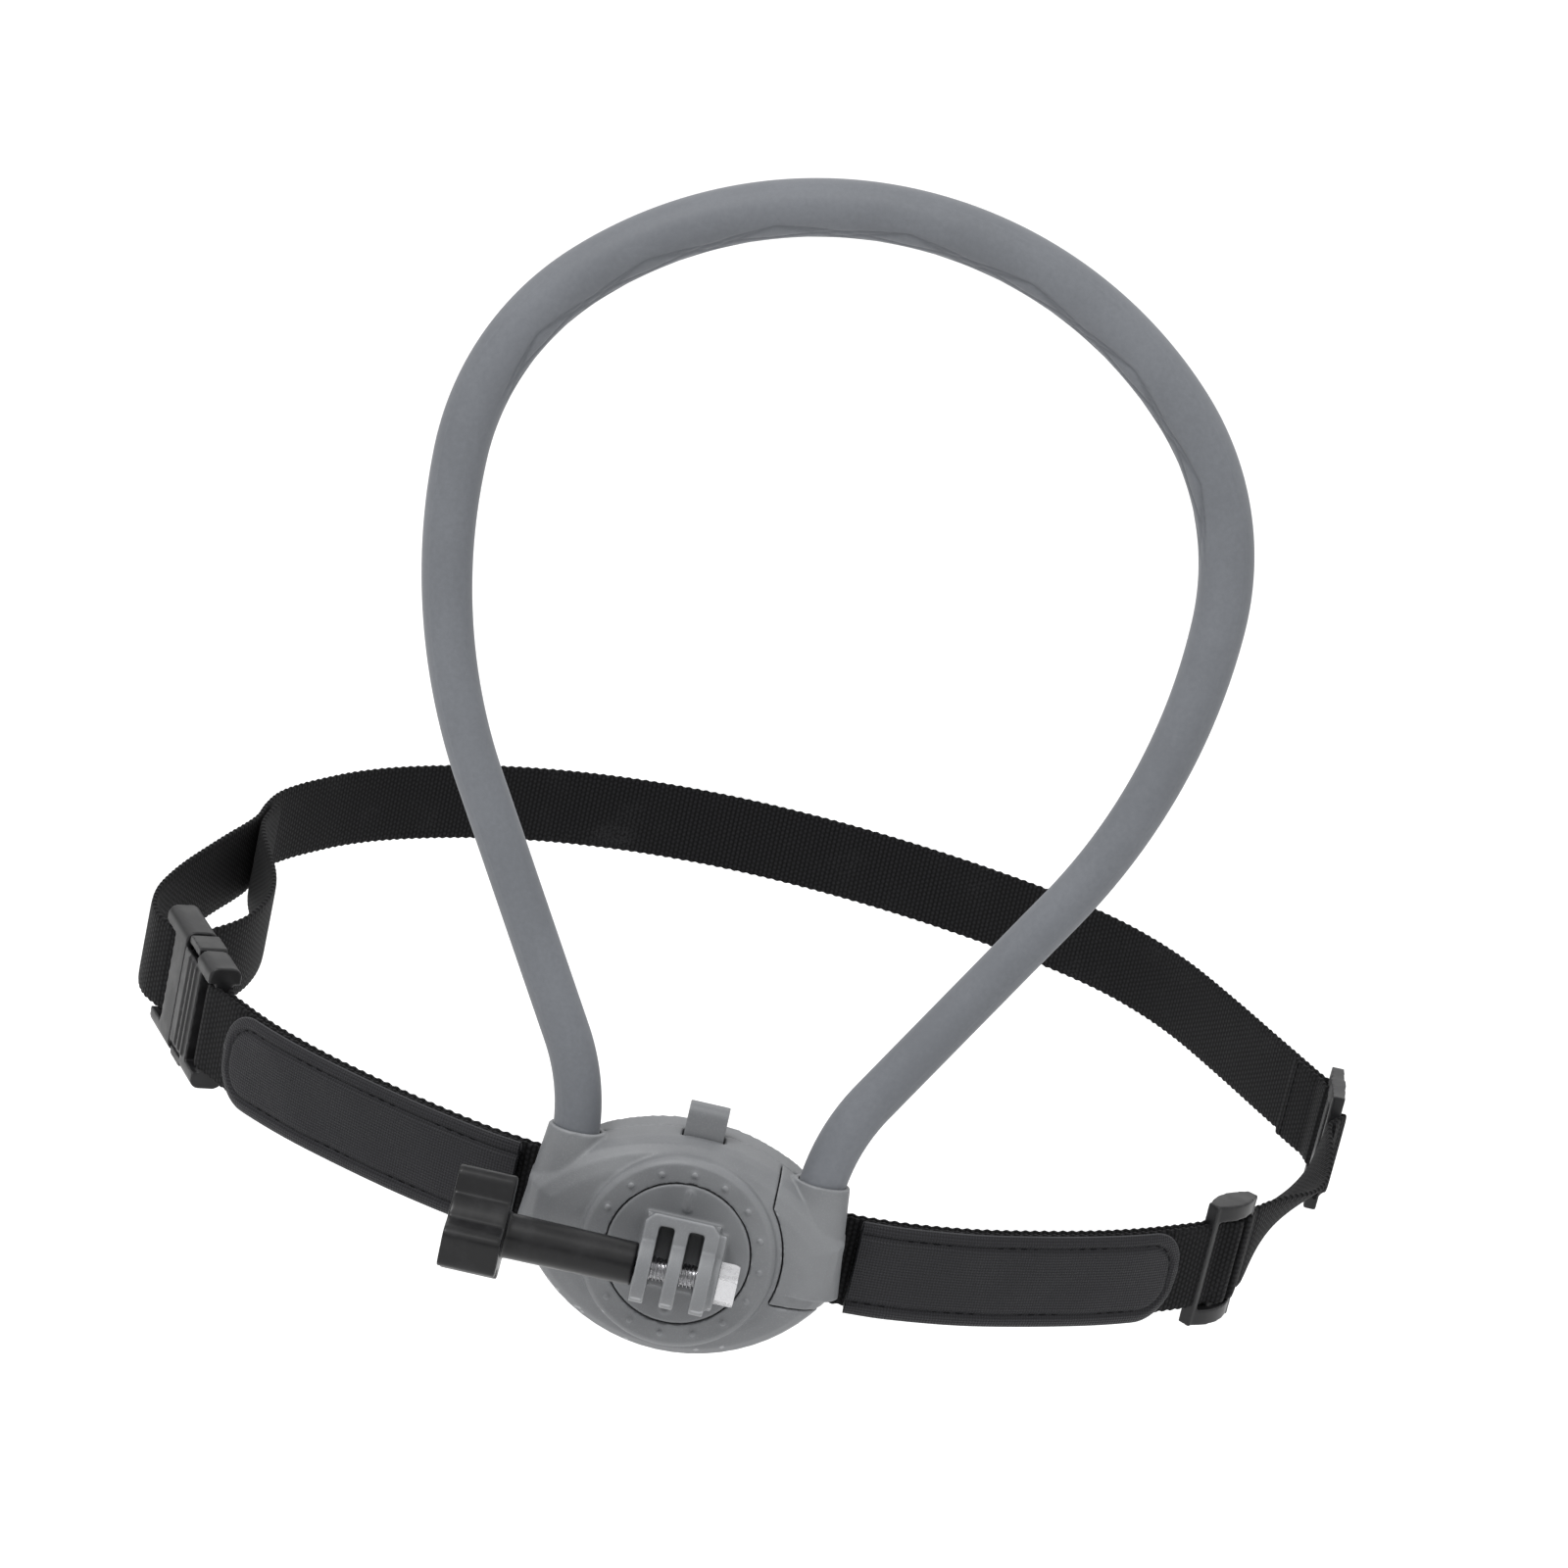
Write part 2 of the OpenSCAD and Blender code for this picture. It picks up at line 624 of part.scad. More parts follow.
module right_connector() {
  color([0.47, 0.48, 0.5]) difference() {
    union() {
      on_pod() intersection() {
        dome();
        translate([0, 0, tray_depth + gap]) linear_extrude(60) connector_plan();
      }
      difference() {
        socket_cone();
        on_pod() translate([-50, -50, 0]) cube([100, 100, tray_depth + gap]);
        on_pod() translate([0, 0, -1]) linear_extrude(60) difference() {
          square(200, center = true);
          translate([seam_x, seam_z]) square([60, 60]);
        }
        on_pod() cylinder(h = 60, r = seam_r);
      }
      on_pod() translate([2, tongue_z[0], tongue_depth[0]])
        cube([seam_x + 3, tongue_z[1] - tongue_z[0], tongue_depth[1] - tongue_depth[0]]);
      on_pod() translate([-3, tongue_z[0] + 1.9, tongue_depth[0]])
        cube([6, tongue_z[1] - tongue_z[0] - 1.9, tongue_depth[1] - tongue_depth[0]]);
    }
    socket_bores();
    on_pod() cover_space(gap, tray_depth, cover_top);
    on_pod() for (spot = cover_spots) translate([spot[0], spot[1], 0]) cylinder(h = 16, r = 0.7);
  }
}

module connector_cover() {
  color([0.42, 0.43, 0.45]) difference() {
    on_pod() cover_space(0, tray_depth + gap, cover_top - run);
    socket_bores();
    on_pod() for (spot = cover_spots) translate([spot[0], spot[1], 0]) {
      cylinder(h = 16, r = 0.75);
      cylinder(h = tray_depth + 1.1, r = 1.3);
    }
  }
}

module cover_screws() {
  color([0.62, 0.62, 0.64]) on_pod() for (spot = cover_spots)
    translate([spot[0], spot[1], tray_depth + 0.35]) {
      cylinder(h = 0.75, r = 1.2);
      cylinder(h = 5, r = 0.68);
    }
}

// Doubled webbing that runs from its pin in the pod to the strap's hardware
module front_webbing(s, points) {
  color([0.09, 0.09, 0.1]) {
    difference() {
      union() {
        on_strap() band(points, 2 * web_t, web_w);
        translate([s * pin_x, -strap_depth, strap_z - web_w / 2]) cylinder(h = web_w, r = pin_r + web_t - 0.1);
        translate([s > 0 ? pin_x : -33, -strap_depth - web_t, strap_z - web_w / 2])
          cube([33 - pin_x, 2 * web_t, web_w]);
      }
      translate([s * pin_x, -strap_depth, -30]) cylinder(h = 60, r = pin_r + run);
    }
  }
}

module left_webbing() {
  front_webbing(-1, left_run);
}

module right_webbing() {
  front_webbing(1, right_run);
}

// Pads lie on the camera side of the webbing, from the pod to just short of the hardware
module left_pad() {
  run_points = [for (i = [0 : 6]) i == 0 ? [-36, 1] : left_run[i]];
  color([0.16, 0.16, 0.18]) on_strap() band(run_points, pad_t, pad_w, -(web_t + 0.1 + pad_t / 2));
}

// Its first stretch is pressed flat, where the connector slides over it as the hoop opens
module right_pad() {
  run_points = [for (i = [0 : 6]) i == 0 ? [36, 0.5] : right_run[i]];
  color([0.16, 0.16, 0.18]) difference() {
    on_strap() band(run_points, pad_t, pad_w, web_t + 0.1 + pad_t / 2);
    on_pod() translate([34, -20, tray_depth - 0.1]) cube([20, 40, 8]);
  }
}

// Flat block with rounded long edges, centred on its thickness and height
module slab(from, to, thick, tall) {
  round = thick * 0.3;
  translate([from, 0, 0]) rotate([90, 0, 90]) linear_extrude(to - from) {
    square([thick, tall - 2 * round], center = true);
    square([thick - 2 * round, tall], center = true);
    for (sx = [-1, 1]) for (sy = [-1, 1])
      translate([sx * (thick / 2 - round), sy * (tall / 2 - round)]) circle(round, $fn = 32);
  }
}

module buckle_socket() {
  color([0.13, 0.13, 0.14]) at_buckle() difference() {
    union() {
      slab(0, mouth, buckle_t, buckle_h);
      for (s = [-1, 1]) for (x = [8.6, 11.4, 14.2])
        translate([x, s * buckle_t / 2 - 0.5, -buckle_h / 2 + 4]) cube([1.2, 1, buckle_h - 8]);
    }
    translate([8, -2.5, -12.2]) cube([30, 5, 24.4]);
    for (s = [-1, 1]) translate([10, -3.6, s * 14.5 - 3.5]) cube([30, 7.2, 7]);
    translate([2.6, -10, -web_w / 2 - 0.6]) cube([4, 20, web_w + 1.2]);
    for (s = [-1, 1]) translate([-1, s * 3.4 - 1.4, -web_w / 2 - 0.6]) cube([4.2, 2.8, web_w + 1.2]);
  }
}

module buckle_plug() {
  base = mouth + 0.3;
  color([0.13, 0.13, 0.14]) at_buckle() difference() {
    union() {
      slab(base, buckle_len, buckle_t, buckle_h);
      translate([9, -1.9, -2.6]) cube([base - 8, 3.8, 5.2]);
    }
    translate([28.2, -10, -web_w / 2 - 0.6]) cube([4.6, 20, web_w + 1.2]);
    for (s = [-1, 1]) translate([28.2, s * 3.2 - 1.4, -web_w / 2 - 0.6]) cube([20, 2.8, web_w + 1.2]);
    for (s = [-1, 1]) translate([base - 1, -2.6, s * 8.5 - 2.4]) cube([2.2, 5.2, 4.8]);
  }
}

// Sprung arm that lies along the buckle above the guide, with the press pad that fills the socket's side window
module prong() {
  translate([0, 2.1, 0]) rotate([90, 0, 0]) linear_extrude(4.2)
    polygon([[9.6, 6.4], [20.7, 7], [20.7, 10], [18.9, 10.4], [18.9, 13], [11, 13], [9.6, 10.6]]);
  translate([0, 3.2, 0]) rotate([90, 0, 0]) linear_extrude(6.4)
    polygon([[10.9, 12.5], [18.9, 12.5], [18.9, 14], [18.4, 14.4], [11.5, 14.4], [10.9, 14]]);
}

module upper_prong() {
  color([0.13, 0.13, 0.14]) at_buckle() prong();
}

module lower_prong() {
  color([0.13, 0.13, 0.14]) at_buckle() mirror([0, 0, 1]) prong();
}

module loop_webbing() {
  color([0.09, 0.09, 0.1]) on_strap() band(loop_run, web_t, web_w);
}

module back_webbing() {
  color([0.09, 0.09, 0.1]) on_strap() band(back_run, web_t, web_w);
}

module link_webbing() {
  color([0.09, 0.09, 0.1]) on_strap() band(link_run, web_t, web_w);
}

// Two-slot webbing adjuster
module adjuster(length, thick, end_thick) {
  open_h = web_w + 1.4;
  rail = (frame_h - open_h) / 2;
  swell = length;
  difference() {
    union() {
      translate([-length / 2, -thick / 2, -frame_h / 2]) cube([length, thick, frame_h]);
      for (s = [-1, 1]) translate([0, 0, s * (frame_h / 2 - rail / 2) - rail / 2])
        intersection() {
          translate([0, swell - end_thick / 2, 0]) cylinder(h = rail, r = swell);
          translate([0, end_thick / 2 - swell, 0]) cylinder(h = rail, r = swell);
          cube([length, 20, 20], center = true);
        }
    }
    for (s = [-1, 1]) translate([s * length / 4 - length * 0.13, -10, -open_h / 2])
      cube([length * 0.26, 20, open_h]);
  }
}

module pad_slider() {
  color([0.14, 0.14, 0.15]) on_strap() translate([slider_at[0], slider_at[1], 0]) rotate([0, 0, slider_turn])
    adjuster(slider_len, 3, 6);
}

module tri_glide() {
  color([0.14, 0.14, 0.15]) on_strap() translate([glide_at[0], glide_at[1], 0]) rotate([0, 0, glide_turn])
    adjuster(glide_len, 3, 3.6);
}

pod_front_shell();
pod_back_tray();
back_screws();
strap_pins();
release_tab();
release_spring();
dial_disc();
dial_washer();
dial_screw();
detent_ball();
detent_spring();
camera_nut();
thumb_knob();
thumb_stud();
left_core();
left_sleeve();
left_ferrule();
nape_core();
nape_sleeve();
right_core();
right_sleeve();
right_ferrule();
right_connector();
connector_cover();
cover_screws();
left_webbing();
left_pad();
right_webbing();
right_pad();
buckle_socket();
buckle_plug();
upper_prong();
lower_prong();
loop_webbing();
back_webbing();
link_webbing();
pad_slider();
tri_glide();
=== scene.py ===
import math

import bmesh
import bpy
import numpy as np
from mathutils import Matrix, Vector


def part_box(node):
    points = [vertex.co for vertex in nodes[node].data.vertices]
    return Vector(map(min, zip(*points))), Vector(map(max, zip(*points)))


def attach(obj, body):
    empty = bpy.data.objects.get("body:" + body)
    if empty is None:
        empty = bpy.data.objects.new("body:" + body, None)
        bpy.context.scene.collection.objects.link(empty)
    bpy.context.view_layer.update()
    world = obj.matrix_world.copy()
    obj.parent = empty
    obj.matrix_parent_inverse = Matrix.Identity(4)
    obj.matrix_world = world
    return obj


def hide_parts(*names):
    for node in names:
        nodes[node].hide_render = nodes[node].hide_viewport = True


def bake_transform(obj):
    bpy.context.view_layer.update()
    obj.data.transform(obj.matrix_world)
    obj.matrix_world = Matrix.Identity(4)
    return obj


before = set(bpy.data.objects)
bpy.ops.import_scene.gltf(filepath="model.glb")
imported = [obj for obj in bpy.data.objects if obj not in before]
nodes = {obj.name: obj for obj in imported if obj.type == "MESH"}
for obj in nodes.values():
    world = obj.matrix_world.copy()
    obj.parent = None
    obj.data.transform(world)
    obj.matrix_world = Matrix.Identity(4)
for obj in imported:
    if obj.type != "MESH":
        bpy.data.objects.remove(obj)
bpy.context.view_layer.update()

# ---------------------------------------------------------------- studio
# The mount hangs in the air as if worn: a large pale floor lies well below it.
# A soft key from the upper left, a weak fill and a wide overhead sky light leave no hard shadow on it.
elevation, roll = math.radians(12.5), math.radians(12.8)
camera_data = bpy.data.cameras.new("camera")
camera_data.lens = 105.4
camera_data.sensor_width = 36
camera_data.clip_end = 500
camera = bpy.data.objects.new("camera", camera_data)
bpy.context.scene.collection.objects.link(camera)
ahead = Vector((0, math.cos(elevation), -math.sin(elevation)))
right = Vector((1, 0, 0))
above = right.cross(ahead)
tilted_right = right * math.cos(roll) + above * math.sin(roll)
tilted_up = above * math.cos(roll) - right * math.sin(roll)
turn = Matrix((tilted_right, tilted_up, -ahead)).transposed()
camera.matrix_world = Matrix.Translation((0, -0.9249, 0.3014)) @ turn.to_4x4()
bpy.context.scene.camera = camera

floor_mesh = bpy.data.meshes.new("floor")
reach, floor_height = 150, -0.3
corners = ((-reach, -reach), (reach, -reach), (reach, reach), (-reach, reach))
floor_mesh.from_pydata([(x, y, floor_height) for x, y in corners], [], [(0, 1, 2, 3)])
floor = bpy.data.objects.new("floor", floor_mesh)
bpy.context.scene.collection.objects.link(floor)
floor_paint = bpy.data.materials.new("floor_paint")
floor_paint.use_nodes = True
floor_shader = floor_paint.node_tree.nodes["Principled BSDF"]
floor_shader.inputs["Base Color"].default_value = (0.88, 0.88, 0.88, 1)
floor_shader.inputs["Roughness"].default_value = 0.9
floor_mesh.materials.append(floor_paint)

world = bpy.data.worlds.new("studio_air")
world.use_nodes = True
world.node_tree.nodes["Background"].inputs["Color"].default_value = (1, 1, 1, 1)
world.node_tree.nodes["Background"].inputs["Strength"].default_value = 0.45
bpy.context.scene.world = world
bpy.context.scene.view_settings.view_transform = "Standard"


def lamp(name, place, power, size):
    """A square soft light at place, in metres, turned towards the middle of the mount."""
    data = bpy.data.lights.new(name, "AREA")
    data.energy = power
    data.size = size
    made = bpy.data.objects.new(name, data)
    made.location = place
    made.rotation_euler = (Vector((0, 0.05, 0.08)) - Vector(place)).to_track_quat("-Z", "Y").to_euler()
    bpy.context.scene.collection.objects.link(made)


lamp("key_light", (-0.7, -0.8, 1.6), 21, 0.5)
lamp("fill_light", (1.5, -1.2, 0.9), 3, 1.0)
overhead = bpy.data.lights.new("overhead", "SUN")
overhead.energy = 2.6
overhead.angle = math.radians(150)
bpy.context.scene.collection.objects.link(bpy.data.objects.new("overhead", overhead))

# ---------------------------------------------------------------- silicone hoop
# One long tube of matt silicone moulded over a bendable wire: slim at the sockets, thicker at the nape,
# with shallow crossing grooves on the side that touches the neck.
socket_x, foot_z, hoop_depth = 0.026, 0.0123, 0.0135
foot_bend, side_bend = 0.045, 0.125
straight_side, hoop_top = 0.056, 0.216
flare, lean = math.radians(31), math.radians(4.6)
foot_start = 0.014
tube_foot, tube_nape = 0.0049, 0.0059
thin_from, thin_over = 0.185, 0.12
groove_depth, groove_width, groove_turn = 0.0003, 0.0003, 0.35
groove_end, groove_fade = 0.105, 0.012
zigzag_length, zigzag_reach = 0.056, 0.62
parting_height, parting_turn, parting_width = 0.00009, 2.2, 0.0003


class Flow:
    """A value that comes out of a node; arithmetic on it adds Math nodes."""

    def __init__(self, finish, socket):
        self.finish, self.socket = finish, socket

    def math(self, operation, *others):
        """One Math node with this value first."""
        values = {k: v for k, v in enumerate((self, *others))}
        return self.finish.node("ShaderNodeMath", {"operation": operation}, values).out(0)

    def __add__(self, other): return self.math("ADD", other)
    def __radd__(self, other): return self.math("ADD", other)
    def __sub__(self, other): return self.math("SUBTRACT", other)
    def __rsub__(self, other): return (self * -1) + other
    def __mul__(self, other): return self.math("MULTIPLY", other)
    def __rmul__(self, other): return self.math("MULTIPLY", other)
    def __truediv__(self, other): return self.math("DIVIDE", other)
    def sine(self): return self.math("SINE")
    def size(self): return self.math("ABSOLUTE")
    def whole(self): return self.math("FLOOR")
    def power(self, other): return self.math("POWER", other)

    def step(self, low, high, start=0.0, end=1.0):
        """Goes smoothly from start to end as the value goes from low to high."""
        sockets = {"Value": self, "From Min": low, "From Max": high, "To Min": start, "To Max": end}
        return self.finish.node("ShaderNodeMapRange", {"interpolation_type": "SMOOTHSTEP"}, sockets).out(0)


class Added:
    """A node that was just added, with its outputs at hand."""

    def __init__(self, finish, made):
        self.finish, self.made = finish, made

    def out(self, key):
        return Flow(self.finish, self.made.outputs[key])


class Finish:
    """A material being written. Fixed numbers are set on the shader; node() adds any node."""

    def __init__(self, name, **fixed):
        self.material = bpy.data.materials.new(name)
        self.material.use_nodes = True
        self.tree = self.material.node_tree
        self.shader = Added(self, self.tree.nodes["Principled BSDF"])
        for key, value in fixed.items():
            self.shader.made.inputs[key.replace("_", " ")].default_value = value

    def node(self, kind, settings, sockets):
        """Adds one node: its settings first, then the values or links of its sockets."""
        made = self.tree.nodes.new(kind)
        for key, value in settings.items():
            setattr(made, key, value)
        for key, value in sockets.items():
            if isinstance(value, Flow):
                self.tree.links.new(value.socket, made.inputs[key])
            else:
                made.inputs[key].default_value = value
        return Added(self, made)

    def place(self):
        """Position on the piece, in metres."""
        return self.node("ShaderNodeTexCoord", {}, {}).out("Object")

    def noise(self, scale, detail=3.0, rough=0.55):
        """Soft random value from 0 to 1, with scale features to the metre."""
        sockets = {"Vector": self.place(), "Scale": scale, "Detail": detail, "Roughness": rough}
        return self.node("ShaderNodeTexNoise", {}, sockets).out(0)

    def attribute(self, name):
        """A number kept on the piece's own points."""
        return self.node("ShaderNodeAttribute", {"attribute_name": name}, {}).out("Fac")

    def across(self):
        """The two lengths of the piece's own UV map, in metres."""
        uv = self.node("ShaderNodeUVMap", {"uv_map": "cloth"}, {}).out(0)
        parts = self.node("ShaderNodeSeparateXYZ", {}, {0: uv})
        return parts.out(0), parts.out(1)

    def mix(self, factor, first, second):
        """Colour between two colours or colour links."""
        sockets = {"Factor": factor, 6: first, 7: second}
        return self.node("ShaderNodeMix", {"data_type": "RGBA"}, sockets).out(2)

    def bump(self, height, strength, distance):
        """Turns a height from 0 to 1 into small relief of that many metres."""
        made = self.node("ShaderNodeBump", {}, {"Height": height, "Strength": strength, "Distance": distance})
        self.tree.links.new(made.out(0).socket, self.shader.made.inputs["Normal"])

    def feed(self, **links):
        """Links values to the shader's sockets."""
        for key, value in links.items():
            self.tree.links.new(value.socket, self.shader.made.inputs[key.replace("_", " ")])
        return self.material


def skin(name, grid, material, closed=False, uv=None):
    """Closed surface over a grid of points (along, around): rings are joined round and in order,
    and the two end rings are capped unless the path is closed."""
    along, around = grid.shape[:2]
    index = np.arange(along * around).reshape(along, around)
    ring_next = np.roll(index, -1, axis=1)
    if closed:
        quads = np.stack([index, ring_next, np.roll(ring_next, -1, 0), np.roll(index, -1, 0)], -1)
    else:
        quads = np.stack([index[:-1], ring_next[:-1], ring_next[1:], index[1:]], -1)
    faces = quads.reshape(-1, 4).tolist()
    if not closed:
        faces += [index[0][::-1].tolist(), index[-1].tolist()]
    mesh = bpy.data.meshes.new(name)
    mesh.from_pydata(grid.reshape(-1, 3).tolist(), [], faces)
    if uv is not None:
        corner = np.zeros(len(mesh.loops), np.int32)
        mesh.loops.foreach_get("vertex_index", corner)
        layer = mesh.uv_layers.new(name="cloth")
        layer.data.foreach_set("uv", uv.reshape(-1, 2)[corner].astype(np.float32).ravel())
    return dress(name, mesh, material)


def dress(name, mesh, material):
    """Puts a mesh in the scene with outward faces, smooth shading and its material."""
    shell = bmesh.new()
    shell.from_mesh(mesh)
    bmesh.ops.recalc_face_normals(shell, faces=shell.faces)
    shell.to_mesh(mesh)
    shell.free()
    mesh.polygons.foreach_set("use_smooth", np.ones(len(mesh.polygons), bool))
    mesh.materials.append(material)
    made = bpy.data.objects.new(name, mesh)
    bpy.context.scene.collection.objects.link(made)
    return made


def arc(centre, radius, start, end, count):
    """Points on an arc of a circle, with angles in radians."""
    angle = np.linspace(start, end, count)
    return np.stack([centre[0] + radius * np.cos(angle), centre[1] + radius * np.sin(angle)], -1)


def even(points, step):
    """The same line with points a step apart, and how far along it each one lies."""
    gaps = np.linalg.norm(np.diff(points, axis=0), axis=1)
    reached = np.concatenate([[0], np.cumsum(gaps)])
    count = max(int(round(reached[-1] / step)), 2) + 1
    wanted = np.linspace(0, reached[-1], count)
    return np.stack([np.interp(wanted, reached, points[:, k]) for k in range(points.shape[1])], -1), wanted


def heading(points):
    """Unit direction at each point of a line."""
    direction = np.gradient(points, axis=0)
    return direction / np.linalg.norm(direction, axis=1)[:, None]


side_start = np.array([
    socket_x + foot_bend * (1 - math.cos(flare)), foot_start + foot_bend * math.sin(flare)])
side_end = side_start + straight_side * np.array([math.sin(flare), math.cos(flare)])
side_centre = side_end + side_bend * np.array([-math.cos(flare), math.sin(flare)])
half_width = side_centre[0] + side_bend
eighth = math.radians(22.5)
shoulder_bend = (hoop_top - side_centre[1] - half_width * math.tan(eighth)) / (
    math.sin(2 * eighth) - (1 - math.cos(2 * eighth)) * math.tan(eighth))
nape_bend = (half_width - shoulder_bend * (1 - math.cos(2 * eighth))) / math.cos(2 * eighth)
half_line = np.concatenate([
    [[socket_x, foot_z]],
    arc((socket_x + foot_bend, foot_start), foot_bend, math.pi, math.pi - flare, 60),
    arc(side_centre, side_bend, -flare, 0, 120),
    arc((half_width - shoulder_bend, side_centre[1]), shoulder_bend, 0, math.pi / 4, 90)[1:],
    arc((0, hoop_top - nape_bend), nape_bend, math.pi / 4, math.pi / 2, 90)[1:]])
hoop_line, hoop_reach = even(np.concatenate([half_line * [-1, 1], half_line[-2::-1]]), 0.0009)
hoop_heading = heading(hoop_line)
from_nape = np.abs(hoop_reach - hoop_reach[-1] / 2)
grow = np.clip((thin_from - from_nape) / thin_over, 0, 1)
tube_radius = tube_foot + (tube_nape - tube_foot) * grow * grow * (3 - 2 * grow)
turns = np.linspace(0, 2 * np.pi, 112, endpoint=False)
inward = np.stack([hoop_heading[:, 1], -hoop_heading[:, 0]], -1)
phase = (hoop_reach - hoop_reach[-1] / 2) / zigzag_length
zigzag = zigzag_reach * (4 * np.abs(phase - np.floor(phase + 0.5)) - 1)
across = (turns[None, :] + np.pi) % (2 * np.pi) - np.pi
groove = np.zeros((len(hoop_line), len(turns)))
for line in (zigzag, -zigzag, 0.5 * zigzag + 0.3, 0.3 - 0.5 * zigzag):
    gap = (across - groove_turn - line[:, None]) * tube_radius[:, None]
    groove = np.maximum(groove, np.exp(-(gap / groove_width) ** 2))
groove *= np.clip((groove_end - from_nape) / groove_fade, 0, 1)[:, None]
from_parting = (np.abs(across) - parting_turn) * tube_radius[:, None]
parting = parting_height * np.exp(-(from_parting / parting_width) ** 2)
hoop_skin_radius = tube_radius[:, None] - groove_depth * groove + parting
in_plane = inward[:, None, :] * (hoop_skin_radius * np.cos(turns))[:, :, None] + hoop_line[:, None, :]
off_plane = hoop_skin_radius * np.sin(turns)
hoop_grid = np.stack([
    in_plane[:, :, 0],
    -hoop_depth + in_plane[:, :, 1] * math.sin(lean) - off_plane * math.cos(lean),
    in_plane[:, :, 1] * math.cos(lean) + off_plane * math.sin(lean)], -1)

silicone = Finish("matt_silicone", Specular_IOR_Level=0.4, Sheen_Weight=0.12, Sheen_Roughness=0.4)
cloudy = silicone.noise(28, 2)
dusty = silicone.noise(900, 4, 0.7)
bloom = (cloudy * 0.6 + dusty * 0.4).step(0.38, 0.68)
silicone.bump(silicone.noise(5200, 2), 0.25, 0.00006)
rubber = silicone.mix(bloom, (0.092, 0.098, 0.109, 1), (0.118, 0.125, 0.138, 1))
silicone.feed(
    # Painted shade: the silicone's colour is darkened along the grooves, where shade would fall in the
    # recesses.
    Base_Color=silicone.mix(silicone.attribute("groove") * 0.45, rubber, (0.05, 0.054, 0.062, 1)),
    Roughness=bloom.step(0, 1, 0.58, 0.7))
hoop_skin = skin("silicone_hoop", hoop_grid, silicone.material)
groove_values = hoop_skin.data.attributes.new("groove", "FLOAT", "POINT")
groove_values.data.foreach_set("value", groove.astype(np.float32).ravel())
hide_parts("left_sleeve", "right_sleeve", "nape_sleeve")
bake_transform(hoop_skin)

# ---------------------------------------------------------------- pod and dial plastics
# Pod shells, plug-in connector, release tab and dial are one mid-grey moulded plastic with a fine spark
# texture. Their sharp construction edges are softened by a fine skin drawn over each of them.
pod_plastic = Finish("textured_grey_plastic", Specular_IOR_Level=0.42)
flow_marks = pod_plastic.noise(45, 3)
spark = pod_plastic.noise(3600, 3, 0.6)
edge = pod_plastic.node("ShaderNodeNewGeometry", {}, {}).out("Pointiness").step(0.51, 0.6)
grey = pod_plastic.mix(flow_marks.step(0.35, 0.7), (0.11, 0.114, 0.12, 1), (0.135, 0.14, 0.146, 1))
speckled = pod_plastic.mix(spark.step(0.5, 0.75, 0, 0.4), grey, (0.19, 0.195, 0.203, 1))
pod_plastic.bump(spark, 0.35, 0.00009)
pod_plastic.feed(
    Base_Color=pod_plastic.mix(edge * 0.55, speckled, (0.3, 0.307, 0.318, 1)),
    Roughness=(flow_marks * 0.14) + 0.42)


def soften(name, voxel, passes, material):
    """Covers a CAD node with an even skin of small squares and relaxes it, which rounds its edges."""
    piece = nodes[name]
    cover = piece.modifiers.new("cover", "REMESH")
    cover.mode = "VOXEL"
    cover.voxel_size = voxel
    cover.use_smooth_shade = True
    relax = piece.modifiers.new("relax", "SMOOTH")
    relax.factor = 0.5
    relax.iterations = passes
    paint(name, material)


def paint(name, material):
    """Gives a CAD node its finish."""
    piece = nodes[name]
    for place in piece.material_slots:
        place.link = "OBJECT"
        place.material = material


for name, voxel, passes in (
        ("pod_front_shell", 0.0004, 3), ("right_connector", 0.0003, 4), ("pod_back_tray", 0.0005, 3),
        ("release_tab", 0.00022, 6), ("dial_disc", 0.00032, 3), ("connector_cover", 0.0003, 3)):
    soften(name, voxel, passes, pod_plastic.material)

# ---------------------------------------------------------------- index marks
# Sixteen small domes moulded on the fixed ring, one for each click of the dial, and on the turning disc
# a raised drop that points at them.
dot_circle, dot_radius, face = 0.0174, 0.00078, -0.024
dot_count = 16
lat = np.linspace(0, np.pi / 2, 7)[:-1]
lon = np.linspace(0, 2 * np.pi, 16, endpoint=False)
dome_points, dome_faces = [], []
for k in range(dot_count):
    turn_angle = math.pi / 2 + k * 2 * math.pi / dot_count
    middle = np.array([dot_circle * math.cos(turn_angle), face + 0.0002, dot_circle * math.sin(turn_angle)])
    ring = np.stack([
        np.cos(lat)[:, None] * np.cos(lon), -np.sin(lat)[:, None] * np.ones_like(lon) * 0.9,
        np.cos(lat)[:, None] * np.sin(lon)], -1)
    first = len(dome_points)
    dome_points += (middle + dot_radius * ring.reshape(-1, 3)).tolist()
    dome_points.append((middle + [0, -dot_radius * 0.9, 0]).tolist())
    index = first + np.arange(len(lat) * len(lon)).reshape(len(lat), len(lon))
    follow = np.roll(index, -1, 1)
    dome_faces += np.stack([index[:-1], follow[:-1], follow[1:], index[1:]], -1).reshape(-1, 4).tolist()
    dome_faces += [[a, b, first + index.size] for a, b in zip(index[-1], follow[-1])]
    dome_faces.append(index[0][::-1].tolist())
dome_mesh = bpy.data.meshes.new("index_domes")
dome_mesh.from_pydata(dome_points, [], dome_faces)
index_domes = dress("index_domes", dome_mesh, pod_plastic.material)
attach(index_domes, "pod")

